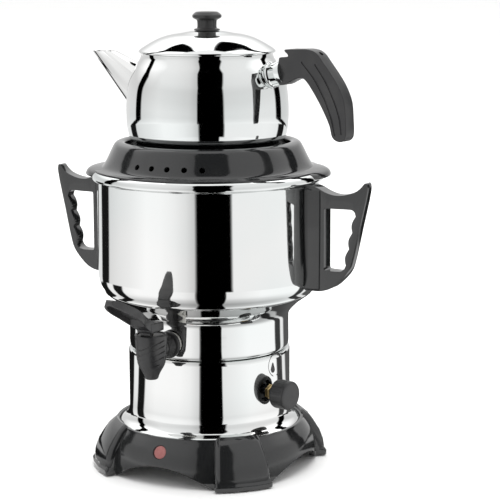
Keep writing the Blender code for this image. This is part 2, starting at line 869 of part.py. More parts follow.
def make_vent_ring():
    skirt_inner = ring_skirt_radius - ring_wall
    skirt_foot = ring_foot - ring_skirt_depth
    under_slope = inset(ring_outline[ring_slope_points], ring_wall)[::-1]
    seat_foot = ring_seat - ring_wall
    loop = [
        *ring_outline, (ring_skirt_radius, ring_foot), (ring_skirt_radius, skirt_foot), (skirt_inner, skirt_foot),
        *under_slope, (ring_bore_radius + ring_wall, seat_foot), (ring_steam_radius, seat_foot),
        (ring_steam_radius, ring_seat), (ring_bore_radius, ring_seat)]
    ring = turned("vent_ring", loop, gloss_black, closed=True)
    lobe_outline = from_shares(lobe_shares, (lobe_root_radius, ring_foot), (lobe_reach, lobe_drop))
    for azimuth in lobe_azimuths:
        join(ring, stand(plate("grip_lobe", [lobe_outline], lobe_width), azimuth))
    height = ring_foot + vent_hole_rise
    reach = radius_at(ring_outline, height)
    depth = ring_wall + overrun
    for azimuth in vent_hole_azimuths:
        hole = cylinder("vent_hole", vent_hole_radius, 2 * depth)
        start = reach - depth * cos(vent_hole_tilt)
        cut(ring, aim(hole, azimuth, start, height - depth * sin(vent_hole_tilt), vent_hole_tilt))


# Side handles and their screws

handle_shares = [
    (-0.1, 0.941), (0.09, 0.94), (0.268, 0.919), (0.379, 0.889), (0.505, 0.877), (0.678, 0.891), (0.82, 0.919),
    (0.899, 0.962), (0.935, 0.99), (0.962, 1), (0.988, 0.99), (1, 0.967), (1, 0.929), (0.733, 0.246),
    (0.694, 0.194), (0.615, 0.133), (0.434, 0.038), (0.268, 0.004), (0.158, 0), (-0.1, 0)]
window_top_shares = [(0, 0.95), (0.05, 1), (0.85, 1), (0.96, 0.97)]
window_foot_shares = [(0.653, 0.05), (0.48, 0), (0.05, 0.005), (0, 0.05)]
grip_line_shares = [(1, 0.9), (0.7, 0.11)]


def finger_side():
    # The grip's inner side bulges between the fingers.
    top, foot = from_shares(grip_line_shares, (window_root, window_foot), (window_depth, window_height))
    count = finger_bulges * finger_points
    points = []
    for step in range(count + 1):
        share = step / count
        bulge = finger_bulge * abs(sin(pi * finger_bulges * share))
        points.append((top[0] + (foot[0] - top[0]) * share - bulge, top[1] + (foot[1] - top[1]) * share))
    return points


def make_handles():
    outline = from_shares(handle_shares, (boiler_radius, handle_foot), (handle_reach, handle_height))
    window_size = (window_depth, window_height)
    upper = from_shares(window_top_shares, (window_root, window_foot), window_size)
    lower = from_shares(window_foot_shares, (window_root, window_foot), window_size)
    window = [*upper, *finger_side(), *lower]
    drum = drum_form("drum_form", boiler_radius + seat_gap, handle_foot - overrun, boiler_top)
    head_face = inner_face(boiler_radius - boiler_wall, handle_screw_head_radius)
    tip = boiler_radius - head_face + handle_screw_depth
    screw = [
        (0, tip), (handle_screw_radius, tip), (handle_screw_radius, 0), (handle_screw_head_radius, 0),
        (handle_screw_head_radius, -handle_screw_head_height), (0, -handle_screw_head_height)]
    number = 0
    for name, azimuth in zip(("handle_right", "handle_left"), handle_azimuths):
        handle = stand(plate(name, [outline, window], handle_thickness, gloss_black), azimuth)
        round_edges(handle, handle_edge)
        cut(handle, drum)
        for height in handle_screw_heights:
            number += 1
            hole = cylinder("grip_hole", handle_screw_radius + seat_gap, handle_screw_depth + seat_gap)
            cut(handle, aim(hole, azimuth, boiler_radius, height))
            aim(turned(f"handle_screw_{number}", screw, plain_steel, small_steps), azimuth, head_face, height)


# Tap: body, gasket, nut, bonnet, valve and lever

cup_shares = [
    (1, 1), (1, 0.96), (0.96, 0.75), (0.835, 0.424), (0.72, 0.32), (0.534, 0.245), (0.243, 0.098),
    (0.194, 0.075), (0, 0)]
barrel_ring_shares = [0.3, 0.6]
paddle_shares = [
    (0.077, 0.166), (0.292, 0.351), (0.523, 0.571), (0.754, 0.805), (0.892, 0.961), (0.946, 1), (0.988, 0.969),
    (1, 0.909), (0.977, 0.831), (0.862, 0.691), (0.677, 0.506), (0.446, 0.286), (0.262, 0.078),
    (0.169, -0.026), (0.046, -0.026)]
paddle_hollow_shares = [
    (0.292, 0.286), (0.523, 0.504), (0.754, 0.735), (0.877, 0.873), (0.931, 0.844), (0.908, 0.7),
    (0.862, 0.623), (0.677, 0.429), (0.446, 0.208), (0.292, 0.039)]
paddle_plan_shares = [
    (-0.4, 0.9), (0.2, 0.9), (0.45, 0.92), (0.68, 0.98), (0.83, 1), (0.92, 0.88), (0.975, 0.6), (1, 0.2)]


def make_tap_body():
    cup = from_shares(cup_shares, (tap_nozzle_radius, tap_foot), (tap_cup_radius - tap_nozzle_radius, tap_height))
    body = turned("tap_body", [(0, tap_top), *cup, (0, tap_foot)], satin_black, middle_steps)
    body.location = outward(0) * tap_reach

    flange_back = tap_reach - gasket_face - seat_gap
    flange_front = flange_back - tap_flange_thickness
    stub_end = tap_reach - neck_radius + tap_stub_length
    barrel = [(0, stub_end), (tap_stub_radius, stub_end), (tap_stub_radius, flange_back),
              (tap_flange_radius, flange_back), (tap_flange_radius, flange_front), (barrel_radius, flange_front)]
    shown = flange_front - tap_cup_radius
    for share in barrel_ring_shares:
        middle = flange_front - shown * share
        barrel.append((barrel_radius, middle + barrel_ring_width / 2))
        barrel.append((barrel_ring_radius, middle + barrel_ring_width / 4))
        barrel.append((barrel_ring_radius, middle - barrel_ring_width / 4))
        barrel.append((barrel_radius, middle - barrel_ring_width / 2))
    barrel.extend([(barrel_radius, 0), (0, 0)])
    pipe = turned("tap_barrel", barrel, None, middle_steps)
    join(body, aim(pipe, pi, -tap_reach, barrel_height))

    chamber = [
        (0, tap_top + overrun), (tap_recess_radius, tap_top + overrun),
        (tap_recess_radius, tap_top - tap_recess_depth), (tap_chamber_radius, tap_top - tap_recess_depth),
        (tap_chamber_radius, tap_seat), (tap_outlet_radius, tap_seat),
        (tap_outlet_radius, tap_foot - overrun), (0, tap_foot - overrun)]
    well = turned("tap_chamber", chamber, None, middle_steps)
    well.location = outward(0) * tap_reach
    water_way = cylinder("barrel_bore", barrel_bore_radius, stub_end + overrun)
    cut(body, well, aim(water_way, pi, -tap_reach, barrel_height))


def make_tap_seals():
    neck = drum_form("neck_form", neck_radius + seat_gap, boiler_floor + neck_foot_rounding, neck_top)
    gasket_root = neck_radius - tap_gasket_thickness * 2
    gasket = cylinder("tap_gasket", tap_flange_radius, gasket_face - gasket_root, rubber, middle_steps)
    aim(gasket, 0, gasket_root, barrel_height)
    bore(gasket, tap_stub_radius + seat_gap, -overrun, neck_radius, middle_steps)
    cut(gasket, neck)
    face = inner_face(inner_neck_radius, tap_nut_radius)
    piece = nut("tap_nut", tap_nut_radius, tap_stub_radius + seat_gap, tap_nut_thickness, brass)
    aim(piece, 0, face - tap_nut_thickness, barrel_height)


def make_bonnet():
    foot = tap_top - tap_recess_depth + seat_gap
    top = foot + bonnet_thickness
    outer = tap_recess_radius - seat_gap
    plug = tap_chamber_radius - seat_gap
    hole = stem_radius + running_gap
    loop = [(hole, top), (outer, top), (outer, foot), (plug, foot), (plug, bonnet_foot), (hole, bonnet_foot)]
    bonnet = turned("tap_bonnet", loop, satin_black, middle_steps, closed=True)
    bonnet.location = outward(0) * tap_reach
    ear = arc((hinge_reach, hinge_height), ear_radius, 0, pi, 8)
    ear_foot = foot + bonnet_thickness / 2
    ear.extend([(hinge_reach - ear_radius, ear_foot), (hinge_reach + ear_radius, ear_foot)])
    join(bonnet, stand(plate("bonnet_ear", [ear], 2 * ear_half_width), 0))
    pin_hole = cylinder("ear_hole", lever_pin_radius + seat_gap, 2 * lever_half_width)
    cut(bonnet, lie_across(pin_hole, hinge_reach, hinge_height, lever_half_width))
    pin_half_length = lever_half_width - running_gap
    pin = cylinder("lever_pin", lever_pin_radius, 2 * pin_half_length, plain_steel)
    lie_across(pin, hinge_reach, hinge_height, pin_half_length)


def make_valve():
    seal_foot = tap_seat + seat_gap
    flange_foot = seal_foot + seal_thickness + seat_gap
    flange_top = flange_foot + stem_flange_thickness
    seal = cylinder("valve_seal", seal_radius, seal_thickness, white_rubber)
    seal.location = outward(0) * tap_reach + Vector((0, 0, seal_foot))
    outline = [
        (0, hinge_height), (stem_radius, hinge_height), (stem_radius, flange_top), (stem_flange_radius, flange_top),
        (stem_flange_radius, flange_foot), (0, flange_foot)]
    stem = turned("valve_stem", outline, brass, small_steps)
    stem.location = outward(0) * tap_reach
    for name, radius, half in (("stem_eye", stem_eye_radius, stem_eye_half_width),
                               ("stem_cross_pin", cross_pin_radius, lever_half_width - running_gap)):
        join(stem, lie_across(cylinder(name, radius, 2 * half), tap_reach, hinge_height, half))

    low = flange_top + seat_gap + spring_wire_radius
    high = bonnet_foot - seat_gap - spring_wire_radius
    count = spring_turns * spring_points_per_turn
    coil = []
    for step in range(count + 1):
        angle = 2 * pi * spring_turns * step / count
        coil.append((spring_radius * cos(angle), spring_radius * sin(angle), low + (high - low) * step / count))
    spring = tube("valve_spring", coil, spring_wire_radius, plain_steel, 1)
    spring.location = outward(0) * tap_reach


def make_lever():
    # The hub is a channel over the bonnet, and the spoon-shaped paddle rises from its front.
    rear = hinge_reach - lever_rear
    front = hinge_reach + lever_front
    foot = hinge_height - lever_drop
    web_foot = hinge_height + lever_headroom
    top = web_foot + lever_web
    hub_outline = [(front, foot), (front, top), (rear + lever_web, top), (rear, web_foot), (rear, foot)]
    lever = stand(plate("tap_lever", [hub_outline], 2 * lever_half_width, satin_black), 0)
    side = from_shares(paddle_shares, (hinge_reach, hinge_height), (paddle_reach, paddle_rise))
    paddle = stand(plate("lever_paddle", [side], paddle_width), 0)
    half = [(w * paddle_width / 2, -hinge_reach - s * paddle_reach) for s, w in paddle_plan_shares]
    mirrored = [(-x, y) for x, y in half[::-1]]
    plan = plate("paddle_plan", [half + mirrored], 2 * paddle_rise + overrun)
    plan.location = (0, 0, hinge_height + paddle_rise / 2)
    keep_inside(paddle, plan)
    join(lever, paddle)
    under = from_shares(paddle_hollow_shares, (hinge_reach, hinge_height), (paddle_reach, paddle_rise))
    cut(lever, stand(plate("paddle_hollow", [under], 2 * (lever_half_width - paddle_rim)), 0))

    channel_front = hinge_reach + lever_channel_front
    channel_length = channel_front - rear + overrun
    channel_height = lever_drop + lever_headroom + overrun
    channel = box("lever_channel", 2 * (lever_half_width - lever_cheek), channel_length, channel_height)
    channel.location = (0, channel_length / 2 - channel_front, web_foot - channel_height / 2)
    slot = box("lever_slot", paddle_width, 2 * slot_half_length, 2 * slot_half_height)
    slot.location = (0, -tap_reach, hinge_height)
    pivot = cylinder("lever_pivot", lever_pin_radius + running_gap, paddle_width)
    cut(lever, channel, slot, lie_across(pivot, hinge_reach, hinge_height, paddle_width / 2))


# Heater

def make_heater():
    gasket_foot = boiler_floor + boiler_wall + seat_gap
    flange_foot = gasket_foot + heater_gasket_thickness + seat_gap
    flange_top = flange_foot + heater_flange_thickness
    boss = heater_hole_radius - seat_gap
    boss_foot = flange_foot - heater_boss_length
    head = [(0, flange_top), (heater_flange_radius, flange_top), (heater_flange_radius, flange_foot),
            (boss, flange_foot), (boss, boss_foot), (0, boss_foot)]
    turned("heater_head", head, brass, middle_steps)
    gasket_top = gasket_foot + heater_gasket_thickness
    ring = [(heater_flange_radius, gasket_top), (heater_flange_radius, gasket_foot),
            (heater_hole_radius, gasket_foot), (heater_hole_radius, gasket_top)]
    turned("heater_gasket", ring, rubber, middle_steps, closed=True)
    piece = nut("heater_nut", heater_nut_radius, heater_hole_radius, heater_nut_thickness, brass, large_steps)
    piece.location = (0, 0, lower_shell_top - heater_nut_thickness)

    low = flange_top + seat_gap
    level = flange_top + element_rise
    half_rise = (low + level) / 2
    leg = element_leg_offset
    bend = element_loop_radius * element_bend_share
    loop = []
    for step in range(element_points + 1):
        angle = element_entry_angle - element_sweep * step / element_points
        loop.append((element_loop_radius * cos(angle), element_loop_radius * sin(angle), level))
    route = [(leg, 0, low), (leg, 0, half_rise), (leg, bend, level), *loop, (-leg, bend, level),
             (-leg, 0, half_rise), (-leg, 0, low)]
    tube("heater_element", route, element_radius, plain_steel)


# Thermostat and its sensor

def make_thermostat():
    azimuth = thermostat_azimuth
    height = thermostat_height
    body = cylinder("thermostat_body", thermostat_radius, thermostat_depth, white_rubber, middle_steps)
    aim(body, azimuth, thermostat_back, height)
    nut_foot = lower_shell_radius + seat_gap
    bushing_end = nut_foot + thermostat_nut_thickness + seat_gap
    bushing = cylinder("thermostat_bushing", bushing_radius, bushing_end - thermostat_back)
    join(body, aim(bushing, azimuth, thermostat_back, height))
    shaft_foot = thermostat_back + thermostat_depth / 2
    bore(body, shaft_radius + running_gap, thermostat_depth / 2 - seat_gap, bushing_end - thermostat_back)
    collar = nut("thermostat_nut", thermostat_nut_radius, bushing_radius + seat_gap, thermostat_nut_thickness, brass)
    aim(collar, azimuth, nut_foot, height)

    knob_foot = lower_shell_radius + knob_standoff
    socket_end = knob_cavity_depth + knob_socket_depth
    socket = shaft_radius + seat_gap
    knob = [
        (0, knob_length), (knob_radius - knob_edge, knob_length), (knob_radius, knob_length - knob_edge),
        (knob_radius, 0), (knob_cavity_radius, 0), (knob_cavity_radius, knob_cavity_depth),
        (socket, knob_cavity_depth), (socket, socket_end), (0, socket_end)]
    aim(turned("thermostat_knob", knob, satin_black, middle_steps), azimuth, knob_foot, height)
    shaft_length = knob_foot + socket_end - seat_gap - shaft_foot
    aim(cylinder("thermostat_shaft", shaft_radius, shaft_length, plain_steel), azimuth, shaft_foot, height)

    bulb_height = lower_shell_top - sensor_radius
    sensor = cylinder("sensor_capillary", sensor_radius, sensor_length, brass, small_steps)
    sensor.rotation_euler = (pi / 2, 0, 0)
    sensor.location = (sensor_offset, sensor_length / 2, bulb_height)
    end = -sensor_length / 2
    route = [
        (sensor_offset, end + overrun, bulb_height),
        (sensor_offset, end - capillary_bend, bulb_height),
        (sensor_offset, end - 2 * capillary_bend, bulb_height - capillary_bend),
        spot(azimuth, thermostat_back - 2 * capillary_bend, -capillary_bend, height + thermostat_radius),
        spot(azimuth, thermostat_back - capillary_bend, 0, capillary_height),
        spot(azimuth, thermostat_back - seat_gap, 0, capillary_height)]
    path = square_ended_path(route, 2 * capillary_radius, capillary_points)
    curve = tube_curve("capillary", path, capillary_radius, 1)
    join(sensor, solid_from_curve("capillary", curve, None))


# Mains inlet and wiring

def make_inlet():
    face = lower_shell_radius + seat_gap + inlet_flange_thickness
    flange_depth = face - inner_shell_radius + inlet_flange_thickness
    margin = 2 * inlet_flange_margin
    inlet = box("power_inlet", inlet_width + margin, inlet_tall + margin, flange_depth, satin_black)
    aim(inlet, pi, face - flange_depth / 2, inlet_height)
    shell = drum_form("shell_form", lower_shell_radius + seat_gap, inlet_height - inlet_width,
                      inlet_height + inlet_width)
    cut(inlet, shell)
    body_depth = face - inlet_flange_thickness / 2 - inlet_back
    body = box("inlet_body", inlet_width, inlet_tall, body_depth)
    join(inlet, aim(body, pi, inlet_back + body_depth / 2, inlet_height))
    socket = box("inlet_socket", socket_width, socket_tall, socket_depth + overrun)
    cut(inlet, aim(socket, pi, face - socket_depth + (socket_depth + overrun) / 2, inlet_height))
    for number, across in enumerate((-pin_spacing, 0, pin_spacing), 1):
        hole = cylinder("pin_hole", pin_radius + seat_gap, inlet_depth)
        aim(hole, pi, inlet_back - overrun, inlet_height)
        hole.location = spot(pi, inlet_back - overrun, across, inlet_height)
        cut(inlet, hole)
        pin = cylinder(f"inlet_pin_{number}", pin_radius, pin_length, brass)
        aim(pin, pi, pin_back, inlet_height)
        pin.location = spot(pi, pin_back, across, inlet_height)


def make_wires():
    pin_end = pin_back - seat_gap
    boss_end = heater_boss_foot - seat_gap
    back = thermostat_back - seat_gap
    side = wire_spacing
    azimuth = thermostat_azimuth
    low = thermostat_height - wire_spacing
    lamp_depth = lamp_recess + lens_thickness + 2 * seat_gap + lamp_body_length
    lamp_reach = radius_at(skirt_outline, lamp_height) - lamp_depth * cos(lamp_tilt)
    lamp_end = lamp_height - lamp_depth * sin(lamp_tilt)
    drop = wire_bend * sin(lamp_tilt)
    routes = {
        "wire_line": (wire_brown, [
            spot(pi, pin_end, -pin_spacing, inlet_height),
            spot(pi, pin_end - wire_bend, -pin_spacing, inlet_height),
            spot(azimuth, back - 2 * wire_bend, side, low), spot(azimuth, back - wire_bend, side, low),
            spot(azimuth, back, side, low)]),
        "wire_neutral": (wire_blue, [
            spot(pi, pin_end, pin_spacing, inlet_height),
            spot(pi, pin_end - wire_bend, pin_spacing, inlet_height),
            spot(pi, side, side, boss_end - 2 * wire_bend), spot(pi, side, side, boss_end - wire_bend),
            spot(pi, side, side, boss_end)]),
        "wire_heater": (wire_brown, [
            spot(azimuth, back, -side, low), spot(azimuth, back - wire_bend, -side, low),
            spot(0, side, 0, boss_end - 2 * wire_bend), spot(0, side, 0, boss_end - wire_bend),
            spot(0, side, 0, boss_end)]),
        "wire_lamp": (wire_brown, [
            spot(azimuth, back, 0, low - side), spot(azimuth, back - wire_bend, 0, low - side),
            spot(0, lamp_wire_reach, 0, base_plate_top + wire_bend),
            spot(0, lamp_wire_reach, 0, base_plate_foot),
            spot(0, lamp_reach - wire_bend, 0, lamp_end - drop), spot(0, lamp_reach, 0, lamp_end)])}
    for name, (paint, route) in routes.items():
        tube(name, square_ended_path(route, 2 * wire_radius, wire_points), wire_radius, paint, 1)


# Teapot

pot_shares = [
    (0.804, 1), (0.809, 0.976), (0.84, 0.922), (0.9, 0.841), (0.943, 0.762), (0.973, 0.685), (0.995, 0.54),
    (1, 0.4), (0.99, 0.25), (0.958, 0.135), (0.9, 0.04), (0.83, 0), (0, 0)]
grip_shares = [
    (0, 0.875), (0.018, 0.939), (0.066, 0.969), (0.261, 0.995), (0.389, 1), (0.494, 0.983),
    (0.565, 0.941), (0.623, 0.878), (0.788, 0.681), (0.869, 0.564), (0.938, 0.428), (0.985, 0.218),
    (1, 0.109), (0.983, 0.037), (0.916, 0.001), (0.833, 0), (0.753, 0.025), (0.719, 0.061),
    (0.691, 0.164), (0.582, 0.37), (0.46, 0.551), (0.402, 0.63), (0.361, 0.667), (0.312, 0.679),
    (0.207, 0.653), (0.07, 0.595)]


def make_teapot():
    outline = from_shares(pot_shares, (0, pot_foot), (pot_radius, pot_height))
    pot = turned("teapot_body", outline, polished_steel)
    thicken(pot, pot_wall)
    form = inset(outline, -seat_gap)
    pot_form = turned("pot_form", [(0, form[0][1]), *form])

    run = spout_tip_reach - spout_root_reach
    rise = spout_tip_height - spout_root_height
    length = hypot(run, rise)
    tilt = atan2(rise, run)
    taper = (spout_root_radius - spout_tip_radius) / length
    whole = length + spout_root_run + spout_tip_run
    start = spout_root_reach - spout_root_run * cos(tilt)
    start_height = spout_root_height - spout_root_run * sin(tilt)
    outer_root = spout_root_radius + taper * spout_root_run
    outer_tip = spout_tip_radius - taper * spout_tip_run
    inner_wall = spout_wall * sqrt(1 + taper ** 2)
    spout = cylinder("teapot_spout", outer_root, whole, polished_steel, middle_steps, outer_tip)
    way = cylinder("spout_way", outer_root - inner_wall, whole, None, middle_steps, outer_tip - inner_wall)
    lip = box("spout_lip", 2 * spout_tip_reach, 2 * spout_tip_reach, spout_tip_height)
    lip.location = (0, 0, spout_tip_height + spout_tip_height / 2)
    aim(spout, spout_azimuth, start, start_height, tilt)
    cut(spout, aim(way, spout_azimuth, start, start_height, tilt), pot_form, lip)
    mouth = cylinder("pot_hole", pot_hole_radius, spout_root_run * 2)
    cut(pot, aim(mouth, spout_azimuth, start, start_height, tilt))
    make_grip(pot, pot_form)


def make_grip(pot, pot_form):
    # The steel ferrule holds the black grip away from the hot wall, and one screw clamps both.
    inner_end = ferrule_reach - ferrule_root_run * cos(ferrule_tilt)
    inner_height = ferrule_height - ferrule_root_run * sin(ferrule_tilt)
    ferrule = cylinder("teapot_ferrule", ferrule_radius, ferrule_length + ferrule_root_run, polished_steel,
                       middle_steps, ferrule_end_radius)
    aim(ferrule, grip_azimuth, inner_end, inner_height, ferrule_tilt)
    cut(ferrule, pot_form)
    hole_length = 2 * ferrule_root_run + ferrule_length + overrun
    bore(ferrule, grip_screw_radius + seat_gap, -overrun, hole_length)
    outline = from_shares(grip_shares, (grip_root_reach, grip_foot), (grip_length, grip_height))
    grip = stand(plate("teapot_handle", [outline], grip_thickness, satin_black), grip_azimuth)
    round_edges(grip, grip_edge)
    through = cylinder("grip_screw_hole", grip_screw_radius + seat_gap,
                       ferrule_length + grip_screw_depth + 2 * seat_gap + ferrule_root_run)
    aim(through, grip_azimuth, inner_end, inner_height, ferrule_tilt)
    cut(grip, through)
    cut(pot, through)
    head_face = ferrule_reach - grip_screw_seat * cos(ferrule_tilt)
    head_height = ferrule_height - grip_screw_seat * sin(ferrule_tilt)
    tip = grip_screw_seat + ferrule_length + grip_screw_depth
    screw = [
        (0, tip), (grip_screw_radius, tip), (grip_screw_radius, 0), (grip_screw_head_radius, 0),
        (grip_screw_head_radius, -grip_screw_head_height), (0, -grip_screw_head_height)]
    piece = turned("teapot_handle_screw", screw, plain_steel, small_steps)
    aim(piece, grip_azimuth, head_face, head_height, ferrule_tilt)


# Lid

lid_shares = [
    (0, 1), (0.2, 0.998), (0.37, 0.965), (0.552, 0.875), (0.69, 0.7), (0.798, 0.494), (0.92, 0.22), (1, -0.03)]
lid_knob_shares = [
    (0, 1), (0.6, 0.97), (0.914, 0.84), (1, 0.72), (0.943, 0.6), (0.671, 0.415), (0.67, 0.135), (0.871, 0.06),
    (0.871, 0), (0, 0)]


def make_lid():
    dome = from_shares(lid_shares, (0, lid_foot + lid_edge_height), (lid_radius, lid_rise))
    skirt_foot = lid_foot - lid_skirt_depth
    brim = [
        (lid_radius, lid_foot + lid_wall / 2), (lid_radius - lid_wall / 2, lid_foot),
        (lid_skirt_radius + lid_wall / 2, lid_foot), (lid_skirt_radius, lid_foot - lid_wall / 2),
        (lid_skirt_radius, skirt_foot)]
    lid = turned("teapot_lid", [*dome, *brim], polished_steel)
    thicken(lid, lid_wall)
    hole = cylinder("lid_hole", lid_screw_radius + seat_gap, lid_rise)
    hole.location = (0, 0, lid_top - lid_rise / 2)
    cut(lid, hole)
    knob_foot = lid_top + seat_gap
    knob = turned("lid_knob", from_shares(lid_knob_shares, (0, knob_foot), (lid_knob_radius, lid_knob_height)),
                  satin_black, middle_steps)
    bore(knob, lid_screw_radius + seat_gap, knob_foot - overrun, overrun + lid_screw_depth + seat_gap)
    head_top = lid_top - lid_wall - seat_gap
    tip = knob_foot + lid_screw_depth
    screw = [
        (0, tip), (lid_screw_radius, tip), (lid_screw_radius, head_top), (lid_screw_head_radius, head_top),
        (lid_screw_head_radius, head_top - lid_screw_head_height), (0, head_top - lid_screw_head_height)]
    turned("lid_screw", screw, plain_steel, small_steps)


make_skirt()
make_foot_pads()
make_bottom_cover()
make_base_plate()
make_lower_shell()
make_boiler()
make_vent_ring()
make_handles()
make_tap_body()
make_tap_seals()
make_bonnet()
make_valve()
make_lever()
make_heater()
make_thermostat()
make_inlet()
make_wires()
make_teapot()
make_lid()
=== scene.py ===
import json
from math import atan2, cos, degrees, hypot, pi, radians, sin, sqrt

import bpy
from mathutils import Matrix, Vector


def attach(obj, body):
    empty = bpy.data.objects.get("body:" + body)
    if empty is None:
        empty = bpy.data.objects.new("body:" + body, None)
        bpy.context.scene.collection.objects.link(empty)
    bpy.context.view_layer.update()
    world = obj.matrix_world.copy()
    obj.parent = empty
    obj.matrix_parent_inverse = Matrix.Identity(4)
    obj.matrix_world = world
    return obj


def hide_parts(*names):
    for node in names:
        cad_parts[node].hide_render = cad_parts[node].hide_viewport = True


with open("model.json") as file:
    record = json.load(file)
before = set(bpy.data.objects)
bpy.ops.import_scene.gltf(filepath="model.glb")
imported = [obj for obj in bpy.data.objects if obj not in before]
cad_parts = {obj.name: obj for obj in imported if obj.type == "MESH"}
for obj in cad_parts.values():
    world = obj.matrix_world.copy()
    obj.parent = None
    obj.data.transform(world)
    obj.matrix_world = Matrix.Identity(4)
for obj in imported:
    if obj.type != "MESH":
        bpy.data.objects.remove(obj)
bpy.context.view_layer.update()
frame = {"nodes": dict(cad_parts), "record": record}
mm = 0.001
axisY = 36.2  # the samovar's own axis lies this far behind the origin, in mm
print("frame loaded")


# places and lines, all in mm until a mesh is made
def outward(azimuth):
    # azimuth 0 is the tap's side and 90 is +X, in degrees
    return Vector((sin(radians(azimuth)), -cos(radians(azimuth)), 0))


def sideways(azimuth):
    return Vector((cos(radians(azimuth)), sin(radians(azimuth)), 0))


def placeAt(azimuth, reach, height, across=0):
    return (outward(azimuth) * reach + sideways(azimuth) * across + Vector((0, axisY, height))) * mm


def softLine(points, parts):
    # a smooth line through the points, which keeps tight corners where points lie close
    spots = [Vector(p) for p in points]
    spots = [spots[0] * 2 - spots[1]] + spots + [spots[-1] * 2 - spots[-2]]
    line = []
    for a, b, c, d in zip(spots, spots[1:], spots[2:], spots[3:]):
        ab, bc, cd = (max((q - p).length, 1e-6) ** 0.5 for p, q in ((a, b), (b, c), (c, d)))
        slopeB = (b - a) / ab - (c - a) / (ab + bc) + (c - b) / bc
        slopeC = (c - b) / bc - (d - b) / (bc + cd) + (d - c) / cd
        for step in range(parts):
            t = step / parts
            line.append(tuple(
                b * (2 * t ** 3 - 3 * t ** 2 + 1) + slopeB * bc * (t ** 3 - 2 * t ** 2 + t)
                + c * (3 * t ** 2 - 2 * t ** 3) + slopeC * bc * (t ** 3 - t ** 2)))
    line.append(tuple(spots[-2]))
    return line


def shiftedLine(points, distance):
    # the same line moved to its right-hand side, for a wall of even thickness
    normals = []
    for (x, y), (nextX, nextY) in zip(points, points[1:]):
        length = max(hypot(nextX - x, nextY - y), 1e-6)
        normals.append(((nextY - y) / length, (x - nextX) / length))
    moved = []
    for index, (x, y) in enumerate(points):
        first, second = normals[max(index - 1, 0)], normals[min(index, len(normals) - 1)]
        spread = max(1 + first[0] * second[0] + first[1] * second[1], 0.4)
        moved.append((x + distance * (first[0] + second[0]) / spread, y + distance * (first[1] + second[1]) / spread))
    return moved


# modelling steps
def deselectAll():
    if bpy.context.object and bpy.context.object.mode == "EDIT":
        bpy.ops.object.mode_set(mode="OBJECT")
    bpy.ops.object.select_all(action="DESELECT")


def pickOnly(piece):
    deselectAll()
    piece.select_set(True)
    bpy.context.view_layer.objects.active = piece


def editAll(piece):
    pickOnly(piece)
    bpy.ops.object.mode_set(mode="EDIT")
    bpy.ops.mesh.select_all(action="SELECT")


def named(name):
    piece = bpy.context.object
    piece.name = name
    piece.data.name = name
    return piece


def drawLine(name, points):
    # a small plane merged to one point, which is then extruded from place to place; stays in edit mode
    deselectAll()
    bpy.ops.mesh.primitive_plane_add(size=mm, location=(0, 0, 0))
    piece = named(name)
    bpy.ops.object.mode_set(mode="EDIT")
    bpy.ops.mesh.select_all(action="SELECT")
    bpy.ops.mesh.merge(type="CENTER")
    bpy.ops.transform.translate(value=points[0])
    for here, there in zip(points, points[1:]):
        bpy.ops.mesh.extrude_region_move(TRANSFORM_OT_translate={"value": Vector(there) - Vector(here)})
    return piece


def tidyMesh():
    bpy.ops.mesh.select_all(action="SELECT")
    bpy.ops.mesh.remove_doubles(threshold=0.02 * mm)
    bpy.ops.mesh.normals_make_consistent(inside=False)
    bpy.ops.object.mode_set(mode="OBJECT")


def turnedPiece(name, line, origin=None, axis=(0, 0, 1), steps=144, sweep=360, start=0):
    # line holds (radius, height along the axis); the piece is spun round the axis
    centre = Vector(origin) if origin else Vector((0, axisY, 0)) * mm
    axis = Vector(axis).normalized()
    side = Vector((0, -1, 0)) if abs(axis.z) > 0.99 else axis.cross(Vector((0, 0, 1))).normalized()
    side = Matrix.Rotation(radians(start), 3, axis) @ side
    points = [centre + (side * radius + axis * height) * mm for radius, height in line]
    piece = drawLine(name, points)
    bpy.ops.mesh.select_all(action="SELECT")
    bpy.ops.mesh.spin(steps=steps, angle=-radians(sweep), center=centre, axis=axis, use_auto_merge=False)
    tidyMesh()
    return piece


def joined(pieces):
    deselectAll()
    for piece in pieces:
        piece.select_set(True)
    bpy.context.view_layer.objects.active = pieces[0]
    if len(pieces) > 1:
        bpy.ops.object.join()
    return pieces[0]


def pushedPiece(name, loops, push):
    # closed loops of places, filled between them and pushed out to a solid
    pieces = []
    for number, loop in enumerate(loops):
        pieces.append(drawLine(f"{name}_{number}", [*loop, loop[0]]))
        bpy.ops.mesh.select_all(action="SELECT")
        bpy.ops.mesh.remove_doubles(threshold=0.02 * mm)
        bpy.ops.object.mode_set(mode="OBJECT")
    piece = joined(pieces)
    named(name)
    editAll(piece)
    if len(loops) > 1:
        bpy.ops.mesh.fill()
    else:
        bpy.ops.mesh.edge_face_add()
    bpy.ops.mesh.select_all(action="SELECT")
    bpy.ops.mesh.extrude_region_move(TRANSFORM_OT_translate={"value": push})
    tidyMesh()
    return piece


def platePiece(name, outlines, thickness, azimuth, across=0):
    # outlines of (reach, height) stand in the plane through the axis at this azimuth
    loops = [[placeAt(azimuth, x, z, across - thickness / 2) for x, z in outline] for outline in outlines]
    return pushedPiece(name, loops, sideways(azimuth) * thickness * mm)


def modify(piece, kind, **settings):
    pickOnly(piece)
    modifier = piece.modifiers.new(kind.lower(), kind)
    for key, value in settings.items():
        setattr(modifier, key, value)
    bpy.ops.object.modifier_apply(modifier=modifier.name)
    return piece


def softEdges(piece, width, angle, segments):
    return modify(piece, "BEVEL", width=width * mm, segments=segments, limit_method="ANGLE", angle_limit=radians(angle))


def combine(piece, operation, tool):
    modify(piece, "BOOLEAN", operation=operation, object=tool, solver="EXACT")
    bpy.data.objects.remove(tool)
    return piece


def carve(piece, tool):
    return combine(piece, "DIFFERENCE", tool)


def weld(piece, tool):
    return combine(piece, "UNION", tool)


